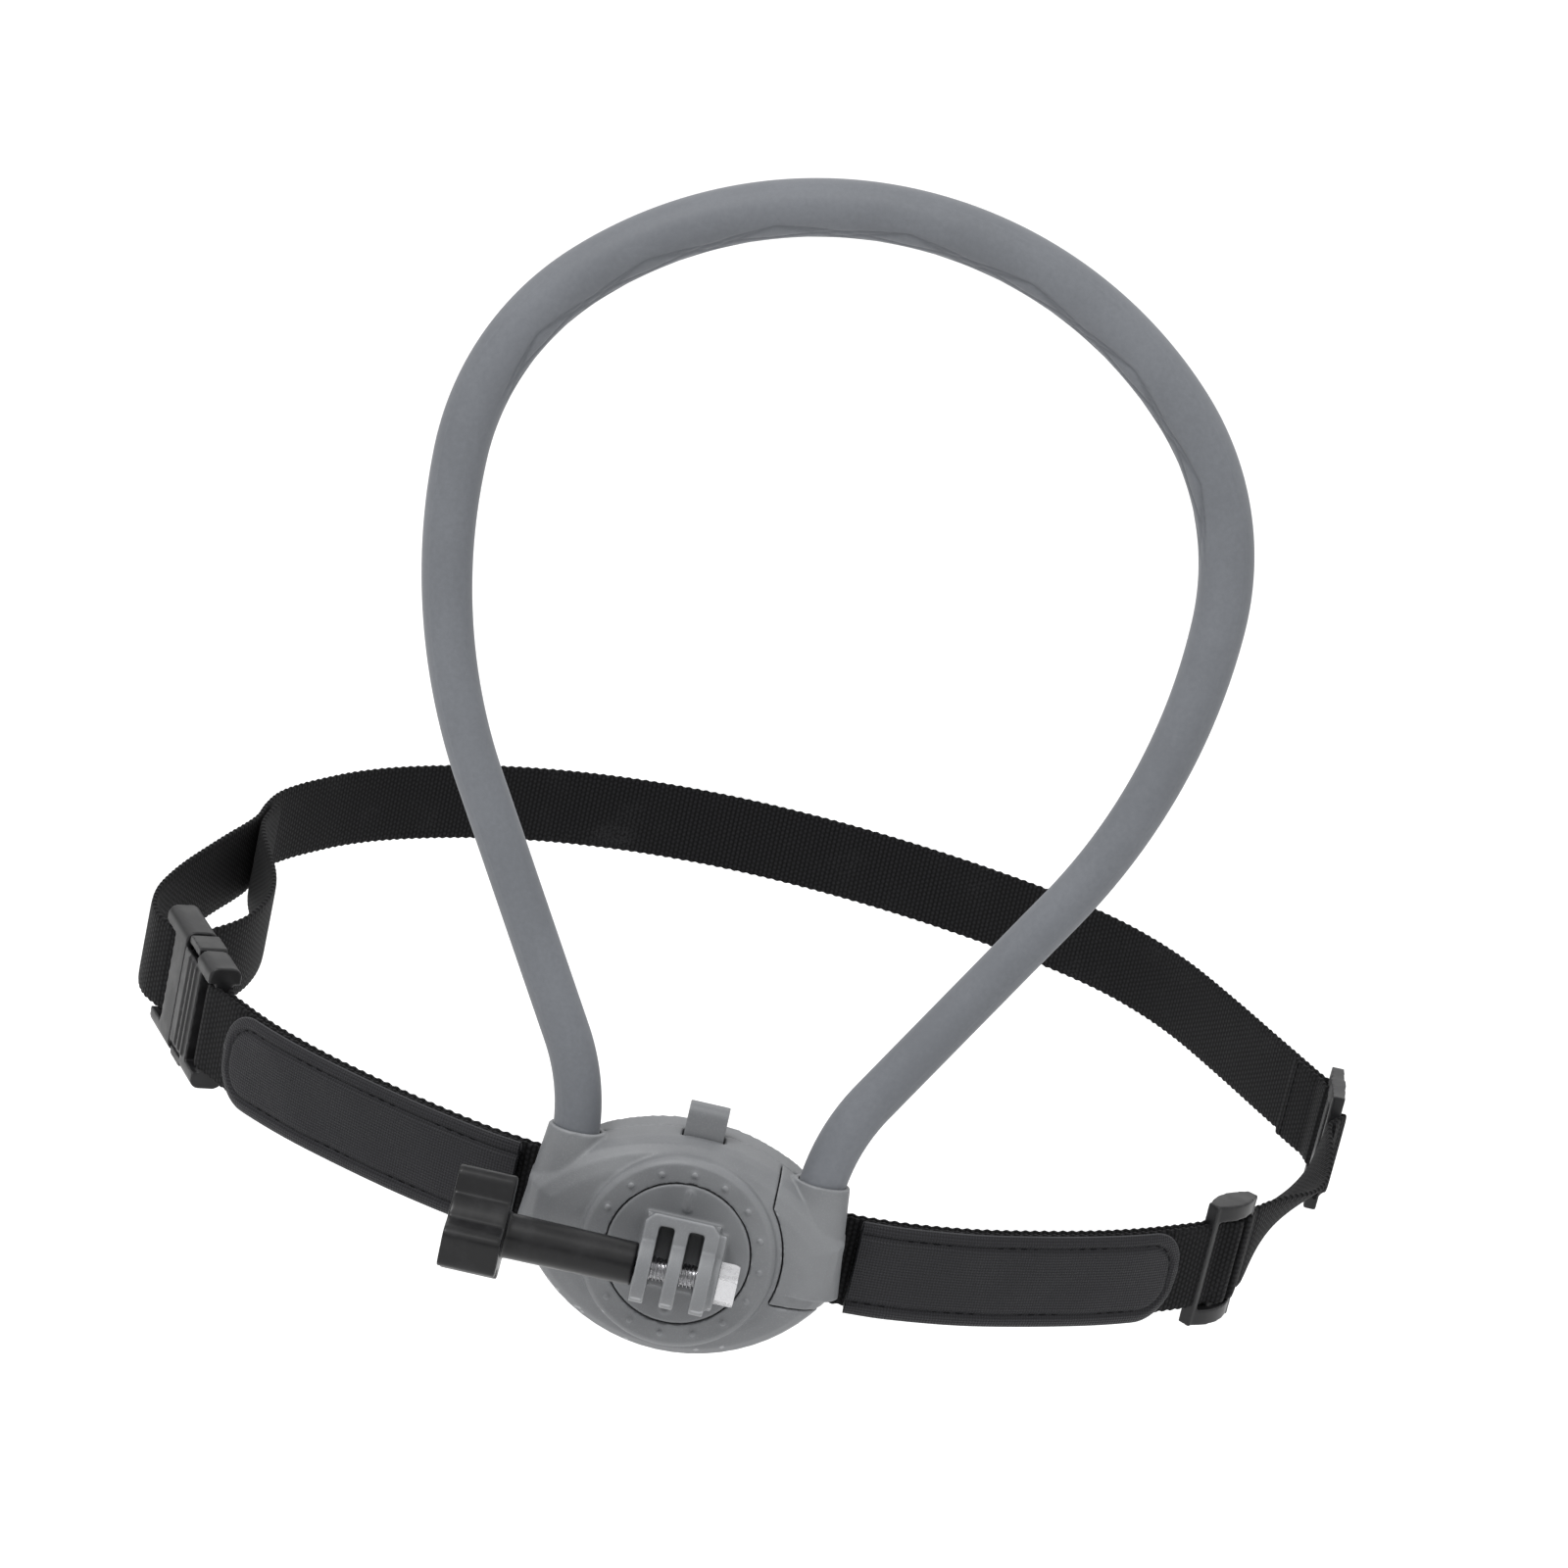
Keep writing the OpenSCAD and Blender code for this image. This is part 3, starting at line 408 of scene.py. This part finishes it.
drop_turn = np.linspace(0, 2 * np.pi, 40, endpoint=False)
drop_middle, drop_reach, drop_half, drop_height = 0.0117, 0.0024, 0.00085, 0.00075
drop_width = drop_half * (1 - 0.22 * np.sin(drop_turn))
drop_outline = np.stack([
    drop_width * np.cos(drop_turn), drop_middle + drop_reach * np.sin(drop_turn)], -1)
drop_rise = np.linspace(0, np.pi / 2, 7)[:-1]
drop_grid = np.stack([
    np.stack([
        drop_outline[:, 0] * math.cos(a), np.full(40, face + 0.0003 - drop_height * math.sin(a)),
        drop_middle + (drop_outline[:, 1] - drop_middle) * (0.55 + 0.45 * math.cos(a))], -1)
    for a in drop_rise])
pointer = skin("dial_pointer", drop_grid, pod_plastic.material)
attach(pointer, "dial")

# ---------------------------------------------------------------- thumb screw
# Near-black glossy knob and barrel, moulded over an M5 steel stud whose thread shows in the tab's slots.
black_plastic = Finish("black_gloss_plastic", Specular_IOR_Level=0.24, Coat_Weight=0.05, Coat_Roughness=0.2)
scuff = black_plastic.noise(220, 5, 0.65)
black_plastic.bump(black_plastic.noise(1800, 2), 0.12, 0.00005)
black_plastic.feed(
    Base_Color=black_plastic.mix(scuff.step(0.45, 0.75), (0.003, 0.003, 0.0035, 1), (0.008, 0.008, 0.009, 1)),
    Roughness=scuff.step(0.3, 0.75, 0.3, 0.46))
soften("thumb_knob", 0.0003, 9, black_plastic.material)

stud_low, stud_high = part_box("thumb_stud")
stud_radius, thread_pitch, thread_depth = (stud_high[2] - stud_low[2]) / 2, 0.0008, 0.00042
stud_middle, moulded_in, tip_chamfer = (stud_low + stud_high) / 2, 0.0095, 0.0006
along = np.arange(stud_low[0] + moulded_in, stud_high[0], thread_pitch / 9)
around = np.linspace(0, 2 * np.pi, 36, endpoint=False)
wound = (along[:, None] / thread_pitch - around[None, :] / (2 * np.pi)) % 1
crest = np.clip(1.25 * (1 - np.abs(2 * wound - 1)) - 0.05, 0, 1)
chamfer = np.clip((stud_high[0] - along) / tip_chamfer, 0.0, 1)[:, None]
thread_radius = (stud_radius - thread_depth) + thread_depth * crest * chamfer
thread_grid = np.stack([
    np.repeat(along[:, None], len(around), 1), stud_middle[1] + thread_radius * np.cos(around),
    stud_middle[2] + thread_radius * np.sin(around)], -1)
bright_steel = Finish("bright_zinc_steel", Metallic=1.0)
brushed = bright_steel.noise(700, 4, 0.7)
bright_steel.bump(brushed, 0.08, 0.00004)
bright_steel.feed(
    Base_Color=bright_steel.mix(brushed, (0.4, 0.4, 0.41, 1), (0.56, 0.56, 0.575, 1)),
    Roughness=brushed.step(0.2, 0.8, 0.2, 0.36))
threaded_stud = skin("threaded_stud", thread_grid, bright_steel.material)
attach(threaded_stud, "thumb_screw")
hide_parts("thumb_stud")

# ---------------------------------------------------------------- nut, screws, pins and springs
# Turned and wound steel parts, most of them inside the pod: only the hexagon nut shows from the front,
# and three countersunk screws from the back.
nut = nodes["camera_nut"]
join = nut.modifiers.new("join", "WELD")
join.merge_threshold = 1e-6
round_edges = nut.modifiers.new("round_edges", "BEVEL")
round_edges.width = 0.00018
round_edges.segments = 2
round_edges.limit_method = "ANGLE"
round_edges.angle_limit = math.radians(28)
for name in ("camera_nut", "back_screws", "strap_pins", "cover_screws", "dial_screw", "dial_washer",
             "detent_ball", "left_ferrule", "right_ferrule"):
    paint(name, bright_steel.material)

spring_steel = Finish("drawn_spring_wire", Metallic=1.0)
drawn = spring_steel.noise(1500, 3)
spring_steel.feed(
    Base_Color=spring_steel.mix(drawn, (0.42, 0.42, 0.44, 1), (0.58, 0.58, 0.6, 1)),
    Roughness=drawn.step(0.2, 0.8, 0.25, 0.4))
paint("detent_spring", spring_steel.material)

coil_low, coil_high, coil_depth = -0.0055, 0.0072, 0.0112
coil_turns, coil_radius, wire_radius = 6, 0.0015, 0.0003
wound_angle = np.linspace(0, coil_turns * 2 * np.pi, coil_turns * 24 + 1)
wire_angle = np.linspace(0, 2 * np.pi, 10, endpoint=False)
wire_reach = coil_radius + wire_radius * np.cos(wire_angle)[None, :]
coil_climb = np.linspace(coil_low, coil_high, len(wound_angle))[:, None]
coil_grid = np.stack([
    wire_reach * np.cos(wound_angle)[:, None], -coil_depth + wire_reach * np.sin(wound_angle)[:, None],
    coil_climb + wire_radius * np.sin(wire_angle)[None, :]], -1)
coil = skin("wound_release_spring", coil_grid, spring_steel.material)
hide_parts("release_spring")
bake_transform(coil)

core_metal = Finish("soft_core_wire", Metallic=1.0)
dull = core_metal.noise(400, 4)
core_metal.feed(
    Base_Color=core_metal.mix(dull, (0.5, 0.5, 0.52, 1), (0.66, 0.66, 0.68, 1)),
    Roughness=dull.step(0.2, 0.8, 0.35, 0.55))
for name in ("left_core", "right_core", "nape_core"):
    paint(name, core_metal.material)

# ---------------------------------------------------------------- buckle and adjusters
# Dark acetal mouldings with a satin skin: the side-release buckle, its sprung prongs, and the two
# adjusters. Their edges are softened like those of the pod.
acetal = Finish("satin_acetal", Specular_IOR_Level=0.26)
satin = acetal.noise(160, 4, 0.6)
acetal_edge = acetal.node("ShaderNodeNewGeometry", {}, {}).out("Pointiness").step(0.51, 0.6)
acetal_tone = acetal.mix(satin.step(0.4, 0.7), (0.006, 0.006, 0.0065, 1), (0.012, 0.012, 0.013, 1))
acetal.bump(acetal.noise(2600, 2), 0.15, 0.00005)
acetal.feed(
    Base_Color=acetal.mix(acetal_edge * 0.5, acetal_tone, (0.035, 0.035, 0.038, 1)),
    Roughness=satin.step(0.3, 0.7, 0.33, 0.47))
for name, voxel, passes in (
        ("buckle_socket", 0.00028, 6), ("buckle_plug", 0.00028, 6), ("upper_prong", 0.0002, 4),
        ("lower_prong", 0.0002, 4), ("pad_slider", 0.00028, 7), ("tri_glide", 0.00028, 6)):
    soften(name, voxel, passes, acetal.material)

# ---------------------------------------------------------------- webbing
# Black ribbed nylon webbing 20 mm wide, woven with a slightly scalloped selvedge. Doubled lengths run from
# the pins in the pod to the hardware; one long length makes the back and the sewn loop at the buckle.
web_width, web_thick = 0.020, 0.0014
strap_depth, strap_height, strap_rise = 0.0054, 0.0007, math.radians(5.7)
scallop, scallop_pitch = 0.00016, 0.0023
pin_x = 0.027
layer, fold_offset = 0.0008, 0.0016
pin_bend, bar_bend, frame_bend = 0.00205, 0.0024, 0.0022

webbing = Finish("ribbed_webbing", Specular_IOR_Level=0.1, Sheen_Weight=0.015, Sheen_Roughness=0.5)
length_way, width_way = webbing.across()
rib_pitch, end_pitch = 0.00115, 0.00125
rib_number = (length_way / rib_pitch).whole()
rib = (length_way * (math.pi / rib_pitch)).sine().size()
ends = (width_way * (2 * math.pi / end_pitch) + rib_number * math.pi).sine() * 0.5 + 0.5
weave = rib.power(0.7) * (0.55 + 0.45 * ends)
lint = webbing.noise(2400, 2, 0.6)
worn = webbing.noise(60, 3)
# Painted highlight: the tops of the ribs are coloured lighter than the hollows between them.
rib_highlight_tones = (0.0018, 0.0018, 0.002, 1), (0.0085, 0.0085, 0.0095, 1)
weave_tone_with_painted_highlight = webbing.mix(weave.step(0.3, 1.0), *rib_highlight_tones)
webbing.bump(weave + lint * 0.25, 0.6, 0.00022)
webbing.feed(
    Base_Color=webbing.mix((worn * lint).step(0.3, 0.5), weave_tone_with_painted_highlight, (0.014, 0.014, 0.015, 1)),
    Roughness=weave.step(0, 1, 0.9, 0.66))


def smooth_line(points, count=14):
    """Smooth curve through given points: a cubic between each two, its slopes from their neighbours."""
    points = np.asarray(points, float)
    padded = np.concatenate([[2 * points[0] - points[1]], points, [2 * points[-1] - points[-2]]])
    a, b, c, d = (padded[k:len(padded) - 3 + k, None, :] for k in range(4))
    t = np.linspace(0, 1, count, endpoint=False)[None, :, None]
    curve = 0.5 * (
        2 * b + (c - a) * t + (2 * a - 5 * b + 4 * c - d) * t ** 2 + (3 * b - a - 3 * c + d) * t ** 3)
    return np.concatenate([curve.reshape(-1, points.shape[1]), points[-1:]])


def on_strap(x, y, z):
    """Points given along, across and above the strap's sloping plane, in the mount's own frame."""
    return np.stack([
        x + 0 * z, -strap_depth + y * math.cos(strap_rise) - z * math.sin(strap_rise),
        strap_height + y * math.sin(strap_rise) + z * math.cos(strap_rise)], -1)


def aside(line, distance):
    """The line moved to its right by a distance."""
    direction = heading(line)
    return line + distance * np.stack([direction[:, 1], -direction[:, 0]], -1)


def hook(bar, out, radius):
    """Half turn round a bar, from the line's right side to its left; out points away from the line."""
    angle = math.atan2(out[1], out[0]) + np.linspace(-np.pi / 2, np.pi / 2, 14)
    return np.stack([bar[0] + radius * np.cos(angle), bar[1] + radius * np.sin(angle)], -1)


def ribbon(name, line, roll_of=None, closed=False):
    """Webbing that stands on its edge along a plan line: a flat section with rounded selvedges is carried
    along it, its width swells and shrinks a little for the scallops, and roll_of turns it about the line.
    Also gives the line's length."""
    path, reached = even(line, 0.00042)
    if closed:
        path, reached = path[:-1], reached[:-1]
    direction = heading(path)
    around = np.linspace(0, 2 * np.pi, 26, endpoint=False)
    thick = web_thick / 2 * np.sign(np.cos(around)) * np.abs(np.cos(around)) ** 0.5
    tall = web_width / 2 * np.sign(np.sin(around)) * np.abs(np.sin(around)) ** 0.22
    swell = 1 + scallop / (web_width / 2) * np.sin(2 * np.pi * reached / scallop_pitch)
    side = thick[None, :] * np.ones_like(reached)[:, None]
    up = tall[None, :] * swell[:, None]
    if roll_of is not None:
        roll = roll_of(reached / reached[-1])[:, None]
        side, up = side * np.cos(roll) - up * np.sin(roll), side * np.sin(roll) + up * np.cos(roll)
    x = path[:, 0][:, None] + direction[:, 1][:, None] * side
    y = path[:, 1][:, None] - direction[:, 0][:, None] * side
    flat = np.stack([
        np.repeat(reached[:, None], len(around), 1), np.repeat(tall[None, :], len(reached), 0)], -1)
    made = skin(name, on_strap(x, y, up), webbing.material, closed, flat)
    return made, float(reached[-1])


def doubled(name, points, bar):
    """Loop of webbing that goes out along one side of a line, round a bar, and back round the pod's pin."""
    middle = smooth_line(points)
    out = heading(middle)
    pin = np.array([np.sign(points[0][0]) * pin_x, 0.0])
    far_turn, near_turn = hook(bar, out[-1], bar_bend), hook(pin, -out[0], pin_bend)
    first, last = aside(middle, layer), aside(middle, -layer)[::-1]
    around = [first[::6], far_turn[1:-1:3], last[::6], near_turn[1:-1:3], first[:1]]
    return ribbon(name, smooth_line(np.concatenate(around), 8), closed=True)


mm = 0.001
right_points = mm * np.array([
    [31, 0], [45, 2], [59, 6.5], [72, 12.7], [86, 20.6], [96, 27.4], [105, 34.6], [110.6, 39.6],
    [114.8, 44.7]])
left_points = mm * np.array([
    [-31, 0], [-44, 3.2], [-57, 8.4], [-70, 14.9], [-84, 23], [-95, 31], [-103, 38.4], [-108.3, 44.2]])
slider_middle, slider_turn = mm * np.array([115.8, 45.6]), math.radians(53)
glide_middle, glide_turn = mm * np.array([143.3, 131.5]), math.radians(88)
buckle_start, buckle_turn = mm * np.array([-109.5, 46.3]), math.radians(116)


def beside(middle, turn_angle, distance):
    """Point a distance along a fitting from its middle."""
    return middle + distance * np.array([math.cos(turn_angle), math.sin(turn_angle)])


near_bar = beside(slider_middle, slider_turn, 0.0006)
far_bar = beside(slider_middle, slider_turn, 0.0066)
socket_bar = beside(buckle_start, buckle_turn, 0.0013)
glide_near = beside(glide_middle, glide_turn, -0.0088)
glide_far = beside(glide_middle, glide_turn, 0.0088)

right_doubled, right_length = doubled("right_doubled_webbing", right_points, near_bar)
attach(right_doubled, "pod")
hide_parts("right_webbing")
left_doubled, left_length = doubled("left_doubled_webbing", left_points, socket_bar)
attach(left_doubled, "pod")
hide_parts("left_webbing")

link_points = mm * np.array([
    [120.9, 52.9], [124.3, 60], [130.8, 79], [135.6, 97], [139, 110], [142.4, 121.4]])
link_middle, tail = smooth_line(link_points), 8
link_way = heading(link_middle)
slider_hook, glide_hook = hook(far_bar, -link_way[0], frame_bend), hook(glide_near, link_way[-1], frame_bend)
link_line = smooth_line(np.concatenate([
    aside(link_middle, -fold_offset)[:tail][::-5], slider_hook[1:-1:3], link_middle[4:-4:6],
    glide_hook[1:-1:3], aside(link_middle, fold_offset)[-tail:][::-5]]), 8)
most_lean, lean_start, lean_length = -0.78, 0.14, 0.74
link, link_length = ribbon(
    "twisted_link_webbing", link_line,
    lambda t: most_lean * np.sin(math.pi * np.clip((t - lean_start) / lean_length, 0, 1)) ** 2)
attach(link, "pod")
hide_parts("link_webbing")

back_points = mm * np.array([
    [143.0, 143], [138, 152], [129, 169], [109, 205], [88, 227], [58, 241.5], [24, 250.5], [-10, 253],
    [-42, 248], [-72, 235], [-98, 214.5], [-113, 194], [-120.8, 176.5], [-122.4, 158], [-126.5, 141],
    [-132, 117], [-134.4, 98], [-132.6, 84.5], [-128, 77.2], [-122.9, 74.2], [-117.9, 80], [-112.8, 91],
    [-110.6, 104], [-111, 118], [-114.2, 132], [-118.4, 146], [-120.5, 158], [-119.2, 172]])
back_middle = smooth_line(back_points)
back_hook = hook(glide_far, -heading(back_middle)[0], frame_bend)
back_fold = aside(back_middle, -fold_offset)[2:18][::-1]
back_line = smooth_line(np.concatenate([back_fold[::5], back_hook[1:-1:3], back_middle[6::7]]), 8)
back, back_length = ribbon("back_and_loop_webbing", back_line)
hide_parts("back_webbing", "loop_webbing")
join_start, join_end = (on_strap(x * mm, y * mm, np.float64(0)) for x, y in ((-98, 214.5), (-125, 150)))
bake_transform(back)

# ---------------------------------------------------------------- pads
# Sleeves of coated cloth with a woven grain, stitched 3 mm in from a cut edge, on the outer face of the
# webbing. Each has a rounded free end, and lies a little crowned between its seams.
pad_half, pad_thick, pad_edge, pad_soft = 0.01075, 0.0023, 0.0015, 0.0012
pad_corner, seam_in, seam_deep, seam_wide = 0.0095, 0.003, 0.0006, 0.00055
ripple_height, ripple_pitch, pad_clearance = 0.00012, 0.019, 0.0001
stitch_radius, stitch_half, stitch_pitch = 0.00024, 0.00095, 0.0028

pad_cover = Finish("grained_pad_cover", Specular_IOR_Level=0.22)
pad_long, pad_high = pad_cover.across()
grain_pitch = 0.00125
one_way = ((pad_long + pad_high) * (2 * math.pi / grain_pitch)).sine()
other_way = ((pad_long - pad_high) * (2 * math.pi / grain_pitch)).sine()
grain = (one_way * other_way) * 0.5 + 0.5
crease = pad_cover.noise(120, 4, 0.6)
# Lighter along the outermost half millimetre of the pad's outline.
outline_lightening = pad_cover.attribute("from_edge").step(0.00002, 0.00045, 1, 0)
cover_tone = pad_cover.mix(grain.step(0.25, 0.9), (0.004, 0.004, 0.005, 1), (0.014, 0.014, 0.017, 1))
pad_cover.bump(grain + crease * 0.5, 0.7, 0.00026)
pad_cover.feed(
    Base_Color=pad_cover.mix(outline_lightening * 0.7, cover_tone, (0.06, 0.06, 0.064, 1)),
    Roughness=(crease * 0.16) + 0.46)

pad_thread = Finish("black_stitching", Roughness=0.7, Specular_IOR_Level=0.1)
twist = (pad_thread.noise(5000, 2)).step(0.3, 0.7)
pad_thread.bump(twist, 0.5, 0.0001)
pad_thread.feed(Base_Color=pad_thread.mix(twist, (0.0012, 0.0012, 0.0014, 1), (0.006, 0.006, 0.007, 1)))


def pad(name, points, side):
    """Crowned pad along a plan line: its front bulges with the distance from its outline, dips at the seam,
    and its free end is rounded; its back is flat against the webbing."""
    path, reached = even(smooth_line(points), 0.0004)
    length = reached[-1]
    into_end = np.clip(reached - (length - pad_corner), 0, None)
    half = pad_half - pad_corner + np.sqrt(np.clip(pad_corner ** 2 - into_end ** 2, 0, None))
    front = np.linspace(-1, 1, 64)
    front = np.sign(front) * np.abs(front) ** 0.9
    height = half[:, None] * front[None, :]
    beyond = np.clip(np.abs(height) - (pad_half - pad_corner), 0, None)
    corner_gap = pad_corner - np.hypot(beyond, into_end[:, None])
    from_side = pad_half - np.abs(height)
    inside = np.where(into_end[:, None] > 0, np.minimum(from_side, corner_gap), from_side)
    inside = np.clip(np.minimum(inside, length - reached[:, None]), 0, None)
    crown = pad_edge + (pad_thick - pad_edge) * (1 - np.exp(-inside / pad_soft))
    seam = seam_deep * np.exp(-((inside - seam_in) / seam_wide) ** 2)
    wave = np.sin(reached[:, None] * 2 * np.pi / ripple_pitch)
    ripple = ripple_height * wave * np.sin(np.pi * front[None, :])
    rise = crown - seam + ripple
    back_row = np.linspace(1, -1, 10)[1:-1]
    z = np.concatenate([height, half[:, None] * back_row[None, :]], 1)
    off = np.concatenate([rise, np.zeros((len(reached), len(back_row)))], 1)
    off = side * (web_thick / 2 + layer + pad_clearance + off)
    direction = heading(path)
    x = path[:, 0][:, None] + direction[:, 1][:, None] * off
    y = path[:, 1][:, None] - direction[:, 0][:, None] * off
    flat = np.stack([np.repeat(reached[:, None], z.shape[1], 1), z], -1)
    made = skin(name, on_strap(x, y, z), pad_cover.material, False, flat)
    margin = np.concatenate([inside, np.zeros((len(reached), len(back_row)))], 1)
    made.data.attributes.new("from_edge", "FLOAT", "POINT").data.foreach_set(
        "value", margin.astype(np.float32).ravel())
    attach(made, "pod")

    def surface(s, h):
        """Point on the pad's seam line, s along and h above the middle, and the way out of the pad."""
        px, py = np.interp(s, reached, path[:, 0]), np.interp(s, reached, path[:, 1])
        dx, dy = np.interp(s, reached, direction[:, 0]), np.interp(s, reached, direction[:, 1])
        rise_here = side * (web_thick / 2 + layer + pad_clearance + pad_thick - seam_deep - 0.0002)
        out = np.stack([dy * side, -dx * side, 0 * dx], -1)
        return on_strap(px + dy * rise_here, py - dx * rise_here, h), out
    return made, surface, length


def stitches(name, centres, ways, outs):
    """Row of short thread ends: each a thin bead, long way along the seam, half sunk in the cloth."""
    along_bead = np.linspace(0, np.pi, 9)
    round_bead = np.linspace(0, 2 * np.pi, 8, endpoint=False)
    points, faces = [], []
    third = np.cross(ways, outs)
    for c, w, o, q in zip(centres, ways, outs, third):
        reach_out = stitch_radius * np.sin(along_bead[1:-1])[:, None]
        bead = (c + w * (-stitch_half * np.cos(along_bead[1:-1]))[:, None, None]
                + o * (reach_out * np.cos(round_bead))[:, :, None]
                + q * (reach_out * np.sin(round_bead))[:, :, None])
        first = len(points)
        index = first + np.arange(bead.shape[0] * 8).reshape(-1, 8)
        points += bead.reshape(-1, 3).tolist()
        follow = np.roll(index, -1, 1)
        faces += np.stack([index[:-1], follow[:-1], follow[1:], index[1:]], -1).reshape(-1, 4).tolist()
        faces += [index[0][::-1].tolist(), index[-1].tolist()]
    mesh = bpy.data.meshes.new(name)
    mesh.from_pydata(points, [], faces)
    made = dress(name, mesh, pad_thread.material)
    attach(made, "pod")


def pad_seam(name, surface, length):
    """Stitches along the bottom of a pad, round its free end and back along the top."""
    seam_half, seam_bend = pad_half - seam_in, pad_corner - seam_in
    straight = length - pad_corner
    turn_end = np.linspace(0, np.pi / 2, 12)
    s = np.concatenate([[0.002], straight + seam_bend * np.sin(turn_end)])
    h = np.concatenate([[-seam_half], -(pad_half - pad_corner) - seam_bend * np.cos(turn_end)])
    outline = np.stack([np.concatenate([s, s[::-1]]), np.concatenate([h, -h[::-1]])], -1)
    line, _ = even(outline, stitch_pitch)
    centres, outs = surface(line[:, 0], line[:, 1])
    stitches(name, centres, heading(centres), outs)


right_pad_points = mm * np.array([
    [36, 0.5], [45, 2], [59, 6.5], [72, 12.7], [86, 20.6], [96, 27.4], [104.3, 34.4]])
right_pad, right_surface, right_pad_length = pad("right_strap_pad", right_pad_points, 1)
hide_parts("right_pad")
pad_seam("right_pad_stitches", right_surface, right_pad_length)
left_pad_points = mm * np.array([
    [-36, 1], [-44, 3.2], [-57, 8.4], [-70, 14.9], [-84, 23], [-95, 31], [-104, 39.4]])
left_pad, left_surface, left_pad_length = pad("left_strap_pad", left_pad_points, -1)
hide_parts("left_pad")
pad_seam("left_pad_stitches", left_surface, left_pad_length)

# One row of the same thread holds down the folded end of the back webbing at its adjuster.
fold_row, fold_half, fold_count = 15, 0.0088, 9
fold_way = heading(back_middle)[fold_row]
fold_at = aside(back_middle, -fold_offset - web_thick / 2)[fold_row]
fold_centres = on_strap(fold_at[0], fold_at[1], np.linspace(-fold_half, fold_half, fold_count))
fold_out = np.tile([-fold_way[1], fold_way[0], 0.0], (fold_count, 1))
stitches("fold_stitches", fold_centres, heading(fold_centres), fold_out)
